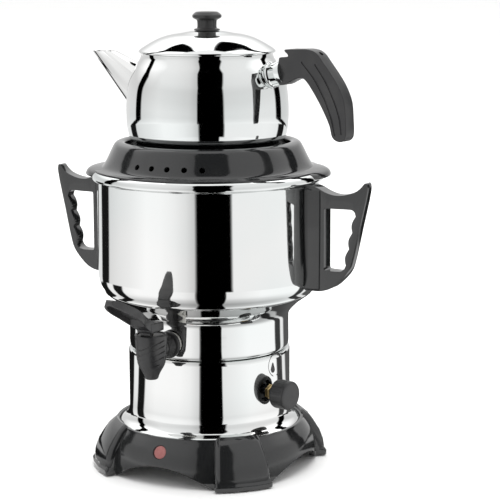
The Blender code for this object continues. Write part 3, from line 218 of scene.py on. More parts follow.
def rod(name, radius, start, end, endRadius=None, steps=64):
    # a straight round tool between two places in metres
    start, end = Vector(start), Vector(end)
    deselectAll()
    bpy.ops.mesh.primitive_cone_add(
        vertices=steps, radius1=radius * mm, radius2=(radius if endRadius is None else endRadius) * mm,
        depth=(end - start).length, location=(start + end) / 2,
        rotation=(end - start).to_track_quat("Z", "Y").to_euler())
    piece = named(name)
    bpy.ops.object.transform_apply(location=True, rotation=True, scale=True)
    return piece


def upright(name, radius, azimuth, reach, low, high, steps):
    return rod(name, radius, placeAt(azimuth, reach, low), placeAt(azimuth, reach, high), steps=steps)


def radial(name, radius, azimuth, near, far, height, steps):
    return rod(name, radius, placeAt(azimuth, near, height), placeAt(azimuth, far, height), steps=steps)


def box(name, place, scale, turn=0):
    deselectAll()
    bpy.ops.mesh.primitive_cube_add(size=1, location=place, scale=scale, rotation=(0, 0, turn))
    piece = named(name)
    bpy.ops.object.transform_apply(location=True, rotation=True, scale=True)
    return piece


def roundEdges(piece, chosen, width, segments):
    # chosen is asked about both ends of an edge, in mm
    editAll(piece)
    bpy.ops.mesh.select_mode(type="EDGE")
    bpy.ops.mesh.select_all(action="DESELECT")
    bpy.ops.object.mode_set(mode="OBJECT")
    spots = [vertex.co / mm for vertex in piece.data.vertices]
    for edge in piece.data.edges:
        edge.select = chosen(*(spots[index] for index in edge.vertices))
    bpy.ops.object.mode_set(mode="EDIT")
    bpy.ops.mesh.bevel(offset=width * mm, segments=segments, affect="EDGES")
    bpy.ops.mesh.select_mode(type="VERT")
    bpy.ops.object.mode_set(mode="OBJECT")


def closeEnds(piece):
    # caps the open ends of a spun or drawn wall
    editAll(piece)
    bpy.ops.mesh.select_all(action="DESELECT")
    bpy.ops.mesh.select_non_manifold()
    bpy.ops.mesh.fill_holes(sides=0)
    tidyMesh()
    return piece


def dress(piece, angle, body, slot, node=None):
    # smooth shading below this angle, then the slot's paint; the piece rides on its body and replaces the node
    pickOnly(piece)
    bpy.ops.object.shade_smooth_by_angle(angle=radians(angle))
    piece.data.materials.clear()
    piece.data.materials.append(paints[slot])
    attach(piece, body)
    if node:
        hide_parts(node)


# shader maths: a value in a material, with plain arithmetic
class Value:
    def __init__(self, paint, socket):
        self.paint = paint
        self.socket = socket

    def sum(self, operation, left, right):
        return self.paint.add("ShaderNodeMath", {"operation": operation}, {0: left, 1: right})

    def __add__(self, other):
        return self.sum("ADD", self, other)

    def __sub__(self, other):
        return self.sum("SUBTRACT", self, other)

    def __rsub__(self, other):
        return self.sum("SUBTRACT", other, self)

    def __mul__(self, other):
        return self.sum("MULTIPLY", self, other)

    def __truediv__(self, other):
        return self.sum("DIVIDE", self, other)

    def __pow__(self, other):
        return self.sum("POWER", self, other)

    __radd__ = __add__


class Paint:
    def __init__(self, name, **settings):
        self.material = bpy.data.materials.new(name)
        self.material.use_nodes = True
        self.tree = self.material.node_tree
        self.shader = self.tree.nodes["Principled BSDF"]
        self.place = Value(self, self.tree.nodes.new("ShaderNodeTexCoord").outputs["Object"])
        self.feed(**settings)

    def add(self, kind, settings=None, sockets=None, output=0):
        node = self.tree.nodes.new(kind)
        for key, value in (settings or {}).items():
            if key == "stops":
                self.setStops(node.color_ramp, value)
            else:
                setattr(node, key, value)
        for key, value in (sockets or {}).items():
            if isinstance(value, Value):
                self.tree.links.new(value.socket, node.inputs[key])
            else:
                node.inputs[key].default_value = value
        return Value(self, node.outputs[output])

    def setStops(self, ramp, stops):
        while len(ramp.elements) < len(stops):
            ramp.elements.new(1)
        for element, (position, colour) in zip(ramp.elements, stops):
            element.position = position
            element.color = (*colour, 1) if isinstance(colour, tuple) else (colour, colour, colour, 1)

    def feed(self, **settings):
        # roughness=0.3 sets the shader's own socket, and a Value is linked to it
        for key, value in settings.items():
            socket = self.shader.inputs[key.replace("_", " ").title().replace("Ior", "IOR")]
            if isinstance(value, Value):
                self.tree.links.new(value.socket, socket)
            else:
                socket.default_value = value

    def noise(self, scale, detail, place=None):
        return self.add("ShaderNodeTexNoise", {}, {"Vector": place or self.place, "Scale": scale, "Detail": detail})

    def stretched(self, x, y, z):
        return self.add("ShaderNodeMapping", {}, {"Vector": self.place, "Scale": (x, y, z)})

    def ramp(self, value, *stops):
        return self.add("ShaderNodeValToRGB", {"stops": stops}, {"Fac": value})

    def patches(self, scale, detail, low, high, place=None):
        return self.ramp(self.noise(scale, detail, place), (low, 0.0), (high, 1.0))

    def blend(self, factor, first, second):
        return self.add("ShaderNodeMix", {"data_type": "RGBA"}, {0: factor, 6: first, 7: second}, 2)

    def bump(self, height, strength, distance=0.001, base=None):
        sockets = {"Height": height, "Strength": strength, "Distance": distance}
        if base:
            sockets["Normal"] = base
        return self.add("ShaderNodeBump", {}, sockets)


# finishes
def mirrorSteel():
    # polished stainless steel: faint turning lines, slow waves of the sheet and a few wiped smears
    look = {"colour": (0.86, 0.862, 0.855, 1), "cool": (0.80, 0.835, 0.83, 1), "roughness": 0.035}
    paint = Paint("polishedSteel", metallic=1.0)
    waves = paint.noise(9, 1, paint.stretched(1, 1, 0.55))
    lines = paint.noise(1, 3, paint.stretched(6, 6, 1400))
    smears = paint.patches(26, 4, 0.54, 0.80, paint.stretched(1, 1, 0.4))
    scuffs = paint.patches(420, 2, 0.66, 0.74, paint.stretched(0.15, 0.15, 1))
    tint = paint.patches(7, 2, 0.42, 0.66)
    paint.feed(
        base_color=paint.blend(tint, look["colour"], look["cool"]),
        roughness=look["roughness"] + smears * 0.05 + scuffs * 0.035 + lines * 0.012,
        normal=paint.bump(waves, 0.06, 0.004, paint.bump(lines, 0.008, 0.0004)))
    return paint.material


def glossyBlack():
    # moulded black plastic with a slight orange peel, dust and light rubbing
    look = {"colour": (0.012, 0.0125, 0.013, 1), "dusty": (0.030, 0.031, 0.030, 1), "roughness": 0.085}
    paint = Paint("glossyBlack", metallic=0.0, specular_ior_level=0.62, coat_roughness=0.04)
    peel = paint.noise(190, 2)
    flow = paint.noise(16, 2)
    dust = paint.patches(900, 2, 0.64, 0.74)
    rubbed = paint.patches(34, 4, 0.5, 0.8)
    paint.feed(
        base_color=paint.blend(dust * 0.35 + rubbed * 0.2, look["colour"], look["dusty"]),
        roughness=look["roughness"] + rubbed * 0.09 + dust * 0.12,
        coat_weight=0.35 - rubbed * 0.15,
        normal=paint.bump(flow, 0.07, 0.003, paint.bump(peel, 0.04, 0.0006)))
    return paint.material


def satinBlack():
    # fine-grained black plastic of the tap, the knobs and the pot's handle
    look = {"colour": (0.017, 0.017, 0.018, 1), "worn": (0.046, 0.045, 0.044, 1), "roughness": 0.34}
    paint = Paint("satinBlack", metallic=0.0, specular_ior_level=0.55)
    grain = paint.noise(1500, 2)
    cloud = paint.patches(48, 4, 0.42, 0.78)
    paint.feed(
        base_color=paint.blend(cloud * 0.55, look["colour"], look["worn"]),
        roughness=look["roughness"] + cloud * 0.12 - grain * 0.08,
        normal=paint.bump(grain, 0.10, 0.0003))
    return paint.material


def redLens():
    # a dull moulded lens with small dimples
    look = {"colour": (0.23, 0.058, 0.056, 1), "pale": (0.33, 0.125, 0.115, 1)}
    paint = Paint("redLens", metallic=0.0, roughness=0.26, coat_roughness=0.1)
    cells = paint.add("ShaderNodeTexVoronoi", {}, {"Vector": paint.place, "Scale": 760.0})
    haze = paint.noise(240, 3)
    paint.feed(
        base_color=paint.blend(haze, look["colour"], look["pale"]),
        coat_weight=0.2 + haze * 0.2,
        normal=paint.bump(cells, 0.22, 0.0004))
    return paint.material


def plainMetal(name, colour, dark, roughness):
    # rolled or turned metal: fine scratches, and tarnish in patches
    paint = Paint(name, metallic=1.0)
    scratches = paint.noise(260, 3, paint.stretched(1, 1, 14))
    patches = paint.patches(60, 4, 0.4, 0.75)
    paint.feed(
        base_color=paint.blend(patches * 0.7, colour, dark),
        roughness=roughness + patches * 0.14 + scratches * 0.08,
        normal=paint.bump(scratches, 0.08, 0.0003))
    return paint.material


def plainRubber(name, colour, dusty, roughness):
    # matt rubber, silicone or cable sheath with a soft bloom
    paint = Paint(name, metallic=0.0)
    grain = paint.noise(1800, 2)
    bloom = paint.patches(90, 4, 0.45, 0.8)
    paint.feed(
        base_color=paint.blend(bloom * 0.5, colour, dusty),
        roughness=roughness + bloom * 0.1 - grain * 0.06,
        normal=paint.bump(grain, 0.12, 0.0003))
    return paint.material


paints = {
    "polished_steel": mirrorSteel(),
    "gloss_black": glossyBlack(),
    "satin_black": satinBlack(),
    "red_lens": redLens(),
    "plain_steel": plainMetal("plainSteel", (0.58, 0.58, 0.585, 1), (0.40, 0.39, 0.37, 1), 0.28),
    "brass": plainMetal("rolledBrass", (0.74, 0.56, 0.27, 1), (0.46, 0.31, 0.14, 1), 0.26),
    "rubber": plainRubber("blackRubber", (0.035, 0.035, 0.036, 1), (0.09, 0.088, 0.085, 1), 0.78),
    "white_rubber": plainRubber("paleSilicone", (0.74, 0.73, 0.69, 1), (0.60, 0.585, 0.54, 1), 0.60),
    "wire_brown": plainRubber("brownSheath", (0.19, 0.075, 0.038, 1), (0.26, 0.13, 0.08, 1), 0.46),
    "wire_blue": plainRubber("blueSheath", (0.045, 0.125, 0.40, 1), (0.10, 0.19, 0.44, 1), 0.46)}
slots = {entry["node"]: entry["material_slot"] for entry in frame["record"]["subparts"]}
for node, piece in frame["nodes"].items():
    piece.data.materials.clear()
    piece.data.materials.append(paints[slots[node]])
print("finishes mixed")


# floor, light and camera
studio = {
    "floorSize": 60.0, "skyStrength": 1.05, "ceiling": (7.0, 7.0, 6.5, 390),  # width, depth, height, watts
    "tentRings": (0.125, 0.3, 0.75, 2.15, 9.0), "tentHeight": 22.0, "tentWalls": 4,  # only reflections see the tent
    "bands": ((0.75, 0.02), (2.15, 0.04)),  # reach at which the next band starts, and half its soft edge
    "shade": [(0.125, 0.33), (0.2, 0.55), (0.3, 0.85), (0.4, 0.92), (2.14, 0.92), (2.16, 1.11), (2.5, 1.0),
              (3.3, 0.92)],  # by reach; close to the object it is painted shade standing in for the shadowed floor round the samovar
    "dim": [(0.0, 0.9), (0.05, 0.83), (0.12, 0.81), (0.25, 0.9), (0.45, 0.95)],  # by share of the height
    "behind": [(0.22, 0.0), (0.5, 1.0)], "behindHeight": [(0.1, 0.0), (0.3, 1.0)], "tentLevel": 1.208,
    "farSpread": 0.0000098, "farSpreadReach": [(2.15, 1.0), (2.85, 0.0)], "upperSpread": [(0.2, 0.0), (0.5, 0.35)],
    "near": [(-168, 0.95), (-166, 0.01), (-128, 0.01), (-125, 0.95), (-113, 0.98), (-111, 0.01), (-96, 0.01),
             (-94, 1.0), (-74, 1.1), (-38, 1.08), (-24, 1.0), (-12, 0.78), (-11, 0.0), (17, 0.0), (18.2, 0.92),
             (34, 1.0), (55, 1.12), (104, 1.12), (106, 0.05), (119, 0.05), (121, 0.95), (128, 0.90), (132, 0.10),
             (168, 0.10), (172, 0.95)],
    "middle": [(-140.5, 0.85), (-139, 0.01), (-120.5, 0.01), (-119, 0.78), (-102, 0.88), (-84, 0.96), (-63, 1.1),
               (-47, 1.08), (-33, 1.0), (-21, 0.86), (-12, 0.66), (-10.8, 0.0), (23.5, 0.0), (24.8, 0.98), (64, 1.0),
               (91, 1.02), (119, 0.95), (120.5, 0.01), (139, 0.01), (140.5, 0.85)],
    "far": [(-124, 0.80), (-119.5, 0.75), (-118.5, 0.0), (-106, 0.0), (-105, 0.75), (-86, 0.86), (-72, 0.94),
            (-50, 0.90), (-38, 0.85), (-25, 0.78), (-14, 0.62), (-13, 0.0), (23.2, 0.0), (24.4, 0.84), (47, 0.88),
            (80, 0.91), (112, 0.90), (113, 0.0), (126.5, 0.0), (127.5, 0.72)]}
cameraSetup = {"place": (0.8125, -1.4496, 0.5079), "turn": 27.3, "pitch": 9.908, "roll": -0.21, "lens": 126.07,
               "clip": (0.05, 30)}


def paleFloor():
    deselectAll()
    bpy.ops.mesh.primitive_plane_add(size=studio["floorSize"], location=(0, 0, 0))
    floor = named("studioFloor")
    paint = Paint("paleFloor", roughness=0.55, specular_ior_level=0.2)
    paint.feed(base_color=paint.blend(paint.noise(3, 2), (0.90, 0.90, 0.895, 1), (0.93, 0.93, 0.925, 1)))
    floor.data.materials.append(paint.material)


def azimuthRamp(paint, azimuth, stops):
    # brightness round the object, with azimuth 0 on the camera's side
    ends = [((0, stops[0][1])), *(((spot + 180) / 360, level) for spot, level in stops), ((1, stops[0][1]))]
    return paint.ramp(azimuth / 360 + 0.5, *ends)


def reflectionTent():
    # a painted tent of white cloth and black panels, seen in reflections only: floor, then wall
    rings, tall = studio["tentRings"], studio["tentHeight"]
    centre = (0, axisY * mm, 2 * mm)
    deselectAll()
    bpy.ops.mesh.primitive_circle_add(vertices=180, radius=rings[0], location=centre)
    tent = named("studioTent")
    bpy.ops.object.transform_apply(location=True, rotation=True, scale=True)
    editAll(tent)
    for near, far in zip(rings, rings[1:]):
        bpy.ops.mesh.extrude_region_move()
        bpy.ops.transform.resize(value=(far / near, far / near, 1), center_override=centre)
    for step in range(studio["tentWalls"]):
        bpy.ops.mesh.extrude_region_move(TRANSFORM_OT_translate={"value": (0, 0, tall / studio["tentWalls"])})
    bpy.ops.object.mode_set(mode="OBJECT")

    paint = Paint("studioTent", base_color=(0, 0, 0, 1), roughness=1.0, specular_ior_level=0.0, emission_strength=1.0)
    x, y, z = (paint.add("ShaderNodeSeparateXYZ", {}, {0: paint.place}, part) for part in range(3))
    y = y - axisY * mm
    azimuth = paint.add("ShaderNodeMath", {"operation": "ARCTAN2"}, {0: x, 1: y * -1})
    azimuth = azimuth * (180 / pi) - cameraSetup["turn"]
    azimuth = paint.add("ShaderNodeMath", {"operation": "WRAP"}, {0: azimuth, 1: 180.0, 2: -180.0})
    reach, height = (x * x + y * y) ** 0.5, z / tall

    def byReach(*stops):
        return paint.ramp(reach / 10, *((spot / 10, level) for spot, level in stops))

    isMiddle, isFar = (byReach((start - edge, 0.0), (start + edge, 1.0)) for start, edge in studio["bands"])
    spread = azimuth * azimuth * byReach(*studio["farSpreadReach"]) * studio["farSpread"]
    spread = spread + paint.ramp(height, *studio["upperSpread"]) + 1
    light = paint.blend(isMiddle, azimuthRamp(paint, azimuth, studio["near"]),
                        azimuthRamp(paint, azimuth, studio["middle"]))
    light = paint.blend(isFar, light, azimuthRamp(paint, azimuth / spread, studio["far"]))
    behind = paint.ramp(azimuth * azimuth / 180 ** 2, *studio["behind"]) * paint.ramp(height, *studio["behindHeight"])
    # the shade ramp paints shade on the tent floor next to the object, and the tent's levels are set by height and
    # behind
    level = paint.ramp(height, *studio["dim"]) * byReach(*studio["shade"]) * (behind + 1) * studio["tentLevel"]
    paint.feed(emission_color=paint.add("ShaderNodeVectorMath", {"operation": "MULTIPLY"}, {0: light, 1: level}))
    tent.data.materials.append(paint.material)
    tent.visible_camera = tent.visible_diffuse = tent.visible_shadow = tent.visible_transmission = False


def ceilingLight():
    width, depth, height, power = studio["ceiling"]
    deselectAll()
    bpy.ops.object.light_add(type="AREA", location=(0, 0, height))
    light = bpy.context.object
    light.name = "ceilingLight"
    light.data.shape = "RECTANGLE"
    light.data.size, light.data.size_y, light.data.energy = width, depth, power
    light.visible_camera = light.visible_glossy = False


def skyLight():
    world = bpy.data.worlds.new("studioSky")
    world.use_nodes = True
    bpy.context.scene.world = world
    sky = world.node_tree.nodes["Background"]
    sky.inputs["Color"].default_value = (1, 1, 1, 1)
    sky.inputs["Strength"].default_value = studio["skyStrength"]


def camera():
    deselectAll()
    bpy.ops.object.camera_add(location=cameraSetup["place"])
    view = bpy.context.object
    view.name = "photoView"
    view.rotation_mode = "QUATERNION"
    aimed = Matrix.Identity(3)
    for turn, axis in ((cameraSetup["turn"], "Z"), (90 - cameraSetup["pitch"], "X"), (cameraSetup["roll"], "Z")):
        aimed = aimed @ Matrix.Rotation(radians(turn), 3, axis)
    view.rotation_quaternion = aimed.to_quaternion()
    view.data.sensor_width, view.data.sensor_fit, view.data.lens = 36, "HORIZONTAL", cameraSetup["lens"]
    view.data.clip_start, view.data.clip_end = cameraSetup["clip"]
    bpy.context.scene.camera = view
    bpy.context.scene.view_settings.view_transform = "Standard"


paleFloor()
skyLight()
ceilingLight()
reflectionTent()
camera()
print("studio set")


# steel shells
def wallLoop(line, wall):
    # an open line and its inner copy, joined into one closed outline
    inner = shiftedLine(line, wall)
    return [*line, *inner[::-1], line[0]]


lowerShell = {
    "top": [(66, 117.5), (76, 117.5), (77.8, 117.45), (79.0, 116.9), (79.38, 115.6), (79.4, 113)],
    "wall": [(79.4, 112), (79.4, 90), (79.4, 66), (79.45, 60), (79.95, 55), (81.4, 51), (83.5, 48.3), (85.6, 46.8),
             (87.4, 45.5), (88.6, 44.2), (89, 43), (89, 42.05)],
    "thickness": 0.8, "socketHole": (28.6, 40, 20.6), "socketPlace": (180, 79, 75)}
boiler = {
    "bead": [(110.4, 292.65), (111.9, 291.4), (113.0, 289.4), (113.55, 287.0), (113.3, 285.3), (112.3, 284.3),
             (110.5, 283.85), (108.9, 283.6), (108.15, 283.0), (108, 282)],
    "drum": [(108, 281), (108, 240), (108, 200), (108, 192), (107.75, 188.5), (106.9, 184.2), (105.2, 180.2),
             (103.6, 177.7), (102.7, 176.1), (102.35, 175.2), (102.1, 174.2), (100.6, 172.6), (97.0, 170.0),
             (89.5, 164.4), (82.6, 157.6), (80.7, 155.3), (79.2, 152.9), (78.45, 150.4), (78.3, 147), (78.3, 135),
             (78.3, 123), (77.9, 120.6), (76.9, 118.9), (75.4, 118.0), (73.5, 117.85), (60, 117.85), (21.2, 117.85)],
    "thickness": 1.0}
teapot = {
    "wall": [(63.3, 405), (63.45, 403.6), (64.0, 401.6), (66.1, 397.7), (70.4, 390.8), (74.0, 383.0), (76.4, 375.3),
             (78.2, 362), (78.7, 348.5), (77.9, 334.4), (75.5, 323.9), (71.9, 316.4), (68.9, 312.9), (65.6, 311.2),
             (62, 310.85), (30, 310.85), (0, 310.85)],
    "thickness": 1.0}
lid = {
    "dome": [(1.9, 426.2), (8, 426.2), (13.5, 426.0), (19, 425.2), (26, 423.9), (36.4, 422.2), (45.5, 419.4),
             (52.7, 416.0), (60.7, 411.3), (64.3, 408.9), (65.7, 407.6), (65.95, 406.6), (65.6, 405.7),
             (64.6, 405.33), (62.6, 405.3), (61.6, 405.1), (61.2, 404.3), (61.2, 401), (61.2, 397.35)],
    "thickness": 1.0}


def makeShells():
    line = lowerShell["top"] + softLine(lowerShell["wall"], 4)
    piece = turnedPiece("lowerShell", wallLoop(line, lowerShell["thickness"]), steps=160)
    carve(piece, box("socketCut", placeAt(*lowerShell["socketPlace"]),
                                     [side * mm for side in lowerShell["socketHole"]]))
    dress(piece, 35, "base", "polished_steel", "lower_shell")

    line = softLine(boiler["bead"], 3) + softLine(boiler["drum"], 4)
    piece = turnedPiece("boilerDrum", wallLoop(line, boiler["thickness"]), steps=192)
    dress(piece, 35, "base", "polished_steel", "boiler")


def makePotAndLid():
    outer = softLine(teapot["wall"], 4)
    inner = [(max(x, 0), z) for x, z in shiftedLine(outer, teapot["thickness"])]
    piece = turnedPiece("teapotBody", [*outer, *inner[::-1], outer[0]], steps=192)
    dress(piece, 35, "teapot", "polished_steel", "teapot_body")
    line = softLine(lid["dome"], 4)
    piece = turnedPiece("teapotLid", wallLoop(line, lid["thickness"]), steps=160)
    dress(piece, 35, "lid", "polished_steel", "teapot_lid")


makeShells()
makePotAndLid()
print("steel shells turned")


# black base with its collar, arches, feet and pilot lamp
base = {
    "collar": [(89.6, 44.7), (89.9, 45.25), (90.6, 45.5), (91.8, 45.5), (92.55, 45.25)],
    "skirt": [(93, 44.4), (97.5, 38.5), (101, 33.0), (104.2, 22.6), (105.7, 10.7), (106, 1.5)],
    "ledge": [(89.6, 38.7), (83, 38.7), (83, 41.7), (89.6, 41.7)],
    "wall": 3.0, "archHalfWidth": 54.6, "archHeight": 19.5, "archEdge": 0.9,
    "feet": (45, 135, 225, 315), "footHalfAngle": 14.4, "footEdge": 0.8, "footInside": 91.2, "footWall": 1.7,
    "foot": [(80, 40.9), (93.6, 48.6), (100.5, 42.6), (106, 35), (110.9, 27), (114.3, 18), (115.5, 10), (116, 3),
             (80, 3)],
    "toe": [(100, 1.5), (117.2, 1.5), (117.3, 6.2), (114.8, 9.6), (100, 9.6)],
    "footRound": (90, 3.1, 7.0), "toeRound": (110, 1.6, 3.0),  # least reach, least height, width of the rounding
    "hollow": [(83, 35.7), (101.4, 35.7), (108.6, 25.2), (111.6, 17), (112.7, 9.4), (112.7, 4), (83, 4)],
    "underside": [("UNION", 4.0, 94, 21.5, 37, 24), ("DIFFERENCE", 1.8, 94, 18.5, 37, 20),
                  ("DIFFERENCE", 2.3, 107.5, -2, 8, 20)],  # screw boss, its hole and the pad's hole under each foot
    "recessTop": 21.5, "recessRadius": 99.5}
lamp = {
    "height": 33.5, "reach": 100.73, "tilt": 25.6, "lens": 6.3, "recess": 1.4, "thickness": 1.6, "dome": 0.4,
    "rim": 7.3, "rimDepth": 1.7, "well": 6.5, "seat": 4.5, "holder": 8.5, "gap": 0.3}


def archTool(azimuth):
    half, tall = base["archHalfWidth"], base["archHeight"]
    side = [-1 + step / 16 for step in range(33)]
    rising = [(half * t, tall * (1 - t * t)) for t in side]
    return platePiece("archTool", [[(-half, -4), *rising, (half, -4)]], 260, azimuth)


def footForm(name, line, rounding):
    # a wedge at azimuth 45 whose two long outer edges are rounded
    half = base["footHalfAngle"]
    leastReach, leastHeight, width = rounding

    def onSide(*ends):
        reach = max(hypot(spot.x, spot.y - axisY) for spot in ends)
        turns = [abs(degrees(atan2(spot.x, axisY - spot.y)) - 45) for spot in ends]
        return reach > leastReach and min(turns) > half - 0.1 and max(spot.z for spot in ends) > leastHeight

    piece = closeEnds(turnedPiece(name, [*line, line[0]], steps=3, sweep=2 * half, start=45 - half))
    roundEdges(piece, onSide, width, 7)
    return softEdges(piece, base["footEdge"], 60, 3)


def turnedCopy(piece, turn):
    # a copy with its own mesh, turned round the samovar's axis
    pickOnly(piece)
    bpy.ops.object.duplicate(linked=False)
    copy = bpy.context.object
    centre = Vector((0, axisY * mm, 0))
    copy.data.transform(Matrix.Translation(centre) @ Matrix.Rotation(radians(turn), 4, "Z")
                        @ Matrix.Translation(-centre))
    return copy


def makeBase():
    skirt = softLine(base["skirt"], 6)
    inner = shiftedLine(skirt, base["wall"])[8:]  # the ledge takes over from the wall's first places
    loop = [*base["collar"], *skirt, *inner[::-1], *base["ledge"], base["collar"][0]]
    piece = turnedPiece("baseSkirt", loop, steps=192)
    for azimuth in (0, 90):
        carve(piece, archTool(azimuth))
    softEdges(piece, base["archEdge"], 55, 3)

    half = base["footHalfAngle"]
    foot = footForm("baseFoot", base["foot"], base["footRound"])
    carve(foot, upright("footInside", base["footInside"], 0, 0, -5, 60, 96))
    weld(foot, footForm("footToe", base["toe"], base["toeRound"]))
    hollow = closeEnds(turnedPiece("footHollow", [*base["hollow"], base["hollow"][0]], steps=10,
                                   sweep=2 * (half - base["footWall"]), start=45 - half + base["footWall"]))
    for azimuth in base["feet"]:
        weld(piece, turnedCopy(foot, azimuth - 45))
        carve(piece, turnedCopy(hollow, azimuth - 45))
    bpy.data.objects.remove(foot)
    bpy.data.objects.remove(hollow)
    carve(piece, upright("coverRecess", base["recessRadius"], 0, 0, -4, base["recessTop"], 96))
    for azimuth in base["feet"]:
        for operation, radius, reach, low, high, steps in base["underside"]:
            combine(piece, operation, upright("underBase", radius, azimuth, reach, low, high, steps))
    return piece


def lampPlace(depth):
    # depth runs inward from the sloping skirt
    tilt = radians(lamp["tilt"])
    return placeAt(0, lamp["reach"] - depth * cos(tilt), lamp["height"] - depth * sin(tilt))


def lampRod(radius, deep, shallow, endRadius=None):
    return rod("lampTool", radius, lampPlace(deep), lampPlace(shallow), endRadius)


def makeLamp(skirt):
    shoulder = lamp["recess"] + lamp["thickness"] + lamp["gap"]
    weld(skirt, lampRod(lamp["holder"], shoulder + 3, 1.5))
    carve(skirt, lampRod(lamp["well"], shoulder, -6))
    carve(skirt, lampRod(lamp["seat"], shoulder + 6, shoulder - 1))
    wide = lamp["rim"] + (lamp["rim"] - lamp["well"]) / lamp["rimDepth"]
    carve(skirt, lampRod(lamp["well"], lamp["rimDepth"], -1, wide))
    dress(skirt, 30, "base", "gloss_black", "base_skirt")
    out = lampPlace(-1) - lampPlace(0)
    lens, deep, dome = lamp["lens"], lamp["thickness"], lamp["dome"]
    line = [(0, dome), (lens * 0.3, dome * 0.93), (lens * 0.6, dome * 0.7), (lens * 0.85, dome * 0.3),
            (lens * 0.96, 0), (lens, -0.3), (lens, -deep), (0, -deep)]
    piece = turnedPiece("lampLens", line, lampPlace(lamp["recess"]), out, steps=48)
    dress(piece, 40, "base", "red_lens", "lamp_lens")


makeLamp(makeBase())
print("base moulded")


# black steam ring on the boiler's mouth
steamRing = {
    "outside": [(80, 318.4), (80.35, 319.6), (81.3, 320.4), (82.8, 320.9), (84.6, 321), (87.4, 320.6),
                (89.9, 319.1), (91.9, 316.2), (94.7, 310.6), (98, 303.8), (100.9, 298.7), (103, 296.35),
                (106, 295.05), (109.2, 294.55), (110.2, 294.3), (110.4, 293.7), (110.1, 293.1), (109.4, 293)],
    "skirt": [(104, 293), (104, 285.5), (103.5, 285), (102, 285), (101.5, 285.5)],
    "under": [(101.5, 291.5), (100.2, 294.7), (95.7, 302.6), (92.2, 309.6), (90.4, 313.2), (88.2, 315.9), (84.6, 317.2),
              (82.5, 315.5)],
    "seat": [(82.5, 308), (50.4, 308), (50, 308.4), (50, 310.1), (50.4, 310.5), (79.4, 310.5), (80, 311.2)],
    "holes": (-13.6, -3.6, 5.9, 15.7, 25.5), "holeRadius": 2.75, "holeHeight": 303.5, "holeReach": 98.3,
    "holeTilt": 26.6,
    "lobes": (-70, 110), "lobeCentre": 60, "lobeSweep": 108,
    "lobe": [(38, 293.4), (38, 297.0), (43, 296.7), (48, 296.3), (53, 295.5), (56.6, 294.1), (58.9, 292.0),
             (59.8, 289.6), (59.6, 288.2), (58.8, 287.6), (57.9, 288.0), (57.3, 289.4), (56.2, 291.2), (54.2, 292.6),
             (51.5, 293.3)]}


def makeSteamRing():
    slope = softLine(steamRing["outside"], 2)
    loop = [*slope, *steamRing["skirt"], *steamRing["under"], *steamRing["seat"], slope[0]]
    piece = turnedPiece("steamRing", loop, steps=224)
    for azimuth in steamRing["lobes"]:
        wing = softLine(steamRing["lobe"], 2)
        lobe = turnedPiece("ringLobe", [*wing, wing[0]], placeAt(azimuth, steamRing["lobeCentre"], 0), steps=54,
                           sweep=steamRing["lobeSweep"], start=azimuth - steamRing["lobeSweep"] / 2)
        weld(piece, closeEnds(lobe))
    tilt = radians(steamRing["holeTilt"])
    for azimuth in steamRing["holes"]:
        ends = [placeAt(azimuth, steamRing["holeReach"] + step * cos(tilt), steamRing["holeHeight"] + step * sin(tilt))
                for step in (-8, 8)]
        carve(piece, rod("steamHole", steamRing["holeRadius"], *ends, steps=28))
    dress(piece, 38, "ring", "gloss_black", "vent_ring")


makeSteamRing()
print("steam ring moulded")


# black side handles: a grip plate with a finger window and a thicker band against the boiler
sideHandle = {
    "outline": [(101.7, 284.5), (113.7, 284.0), (121, 282), (128, 278.6), (136, 276.2), (143, 275.8), (151, 277.2),
                (160, 280.6), (165, 284.8), (167.6, 288.0), (169.0, 288.7), (170.3, 288.2), (171.1, 286.2),
                (171.1, 281.5), (163, 245), (154.5, 209), (152, 203.5), (147, 197), (135.5, 187), (125, 183.4),
                (118, 183), (101.7, 183)],
    "window": [(127.8, 260.6), (128.2, 262.6), (129.6, 263), (141, 263), (154.6, 263), (157, 262.2), (158.6, 260.3)],
    "windowFoot": [(148.5, 206.6), (146.3, 204.6), (143, 203.5), (136, 203.5), (129.6, 203.7), (128.2, 204.4),
                   (127.8, 206.5)],
    "fingers": ((159.5, 257), (150, 210)), "bulges": 3, "bulge": 2.3,
    "thickness": 15.5, "tipHalf": 4.9, "taper": (130, 171), "taperHeight": 235, "edge": 3.0,
    "band": [(101.7, 282.6), (125.5, 280.4), (125.5, 183.2), (101.7, 182.8)], "bandThickness": 17.5, "bandEdge": 2.6,
    "drum": 108.3, "screws": (195.5, 273.75), "screwHole": 2.3, "screwEnds": (100, 120.3)}


def fingerSide():
    (topX, topZ), (footX, footZ) = sideHandle["fingers"]
    line = []
    for step in range(25):
        share = step / 24
        bulge = sideHandle["bulge"] * abs(sin(pi * sideHandle["bulges"] * share))
        line.append((topX + (footX - topX) * share - bulge, topZ + (footZ - topZ) * share))
    return line


def makeSideHandle(name, azimuth, node):
    outline = softLine(sideHandle["outline"], 3)
    window = [*softLine(sideHandle["window"], 2), *fingerSide(), *softLine(sideHandle["windowFoot"], 2)]
    piece = platePiece(name, [outline, window], sideHandle["thickness"], azimuth)
    for side in (-1, 1):
        near, far = (placeAt(azimuth, reach, sideHandle["taperHeight"], side * half) for reach, half in zip(
            sideHandle["taper"], (sideHandle["thickness"] / 2, sideHandle["tipHalf"])))
        aside = sideways(azimuth) * side * 10 * mm
        taper = box("handleTaper", (far + near) / 2 + aside, (160 * mm, 20 * mm, 140 * mm),
                    atan2(far.y - near.y, far.x - near.x))
        carve(piece, taper)
    softEdges(piece, sideHandle["edge"], 60, 5)
    band = platePiece("handleBand", [sideHandle["band"]], sideHandle["bandThickness"], azimuth)
    weld(piece, softEdges(band, sideHandle["bandEdge"], 60, 3))
    carve(piece, upright("drumTool", sideHandle["drum"], 0, 0, 170, 300, 192))
    for height in sideHandle["screws"]:
        carve(piece, radial("screwHole", sideHandle["screwHole"], azimuth, *sideHandle["screwEnds"],
                                            height, 24))
    dress(piece, 38, "base", "gloss_black", node)


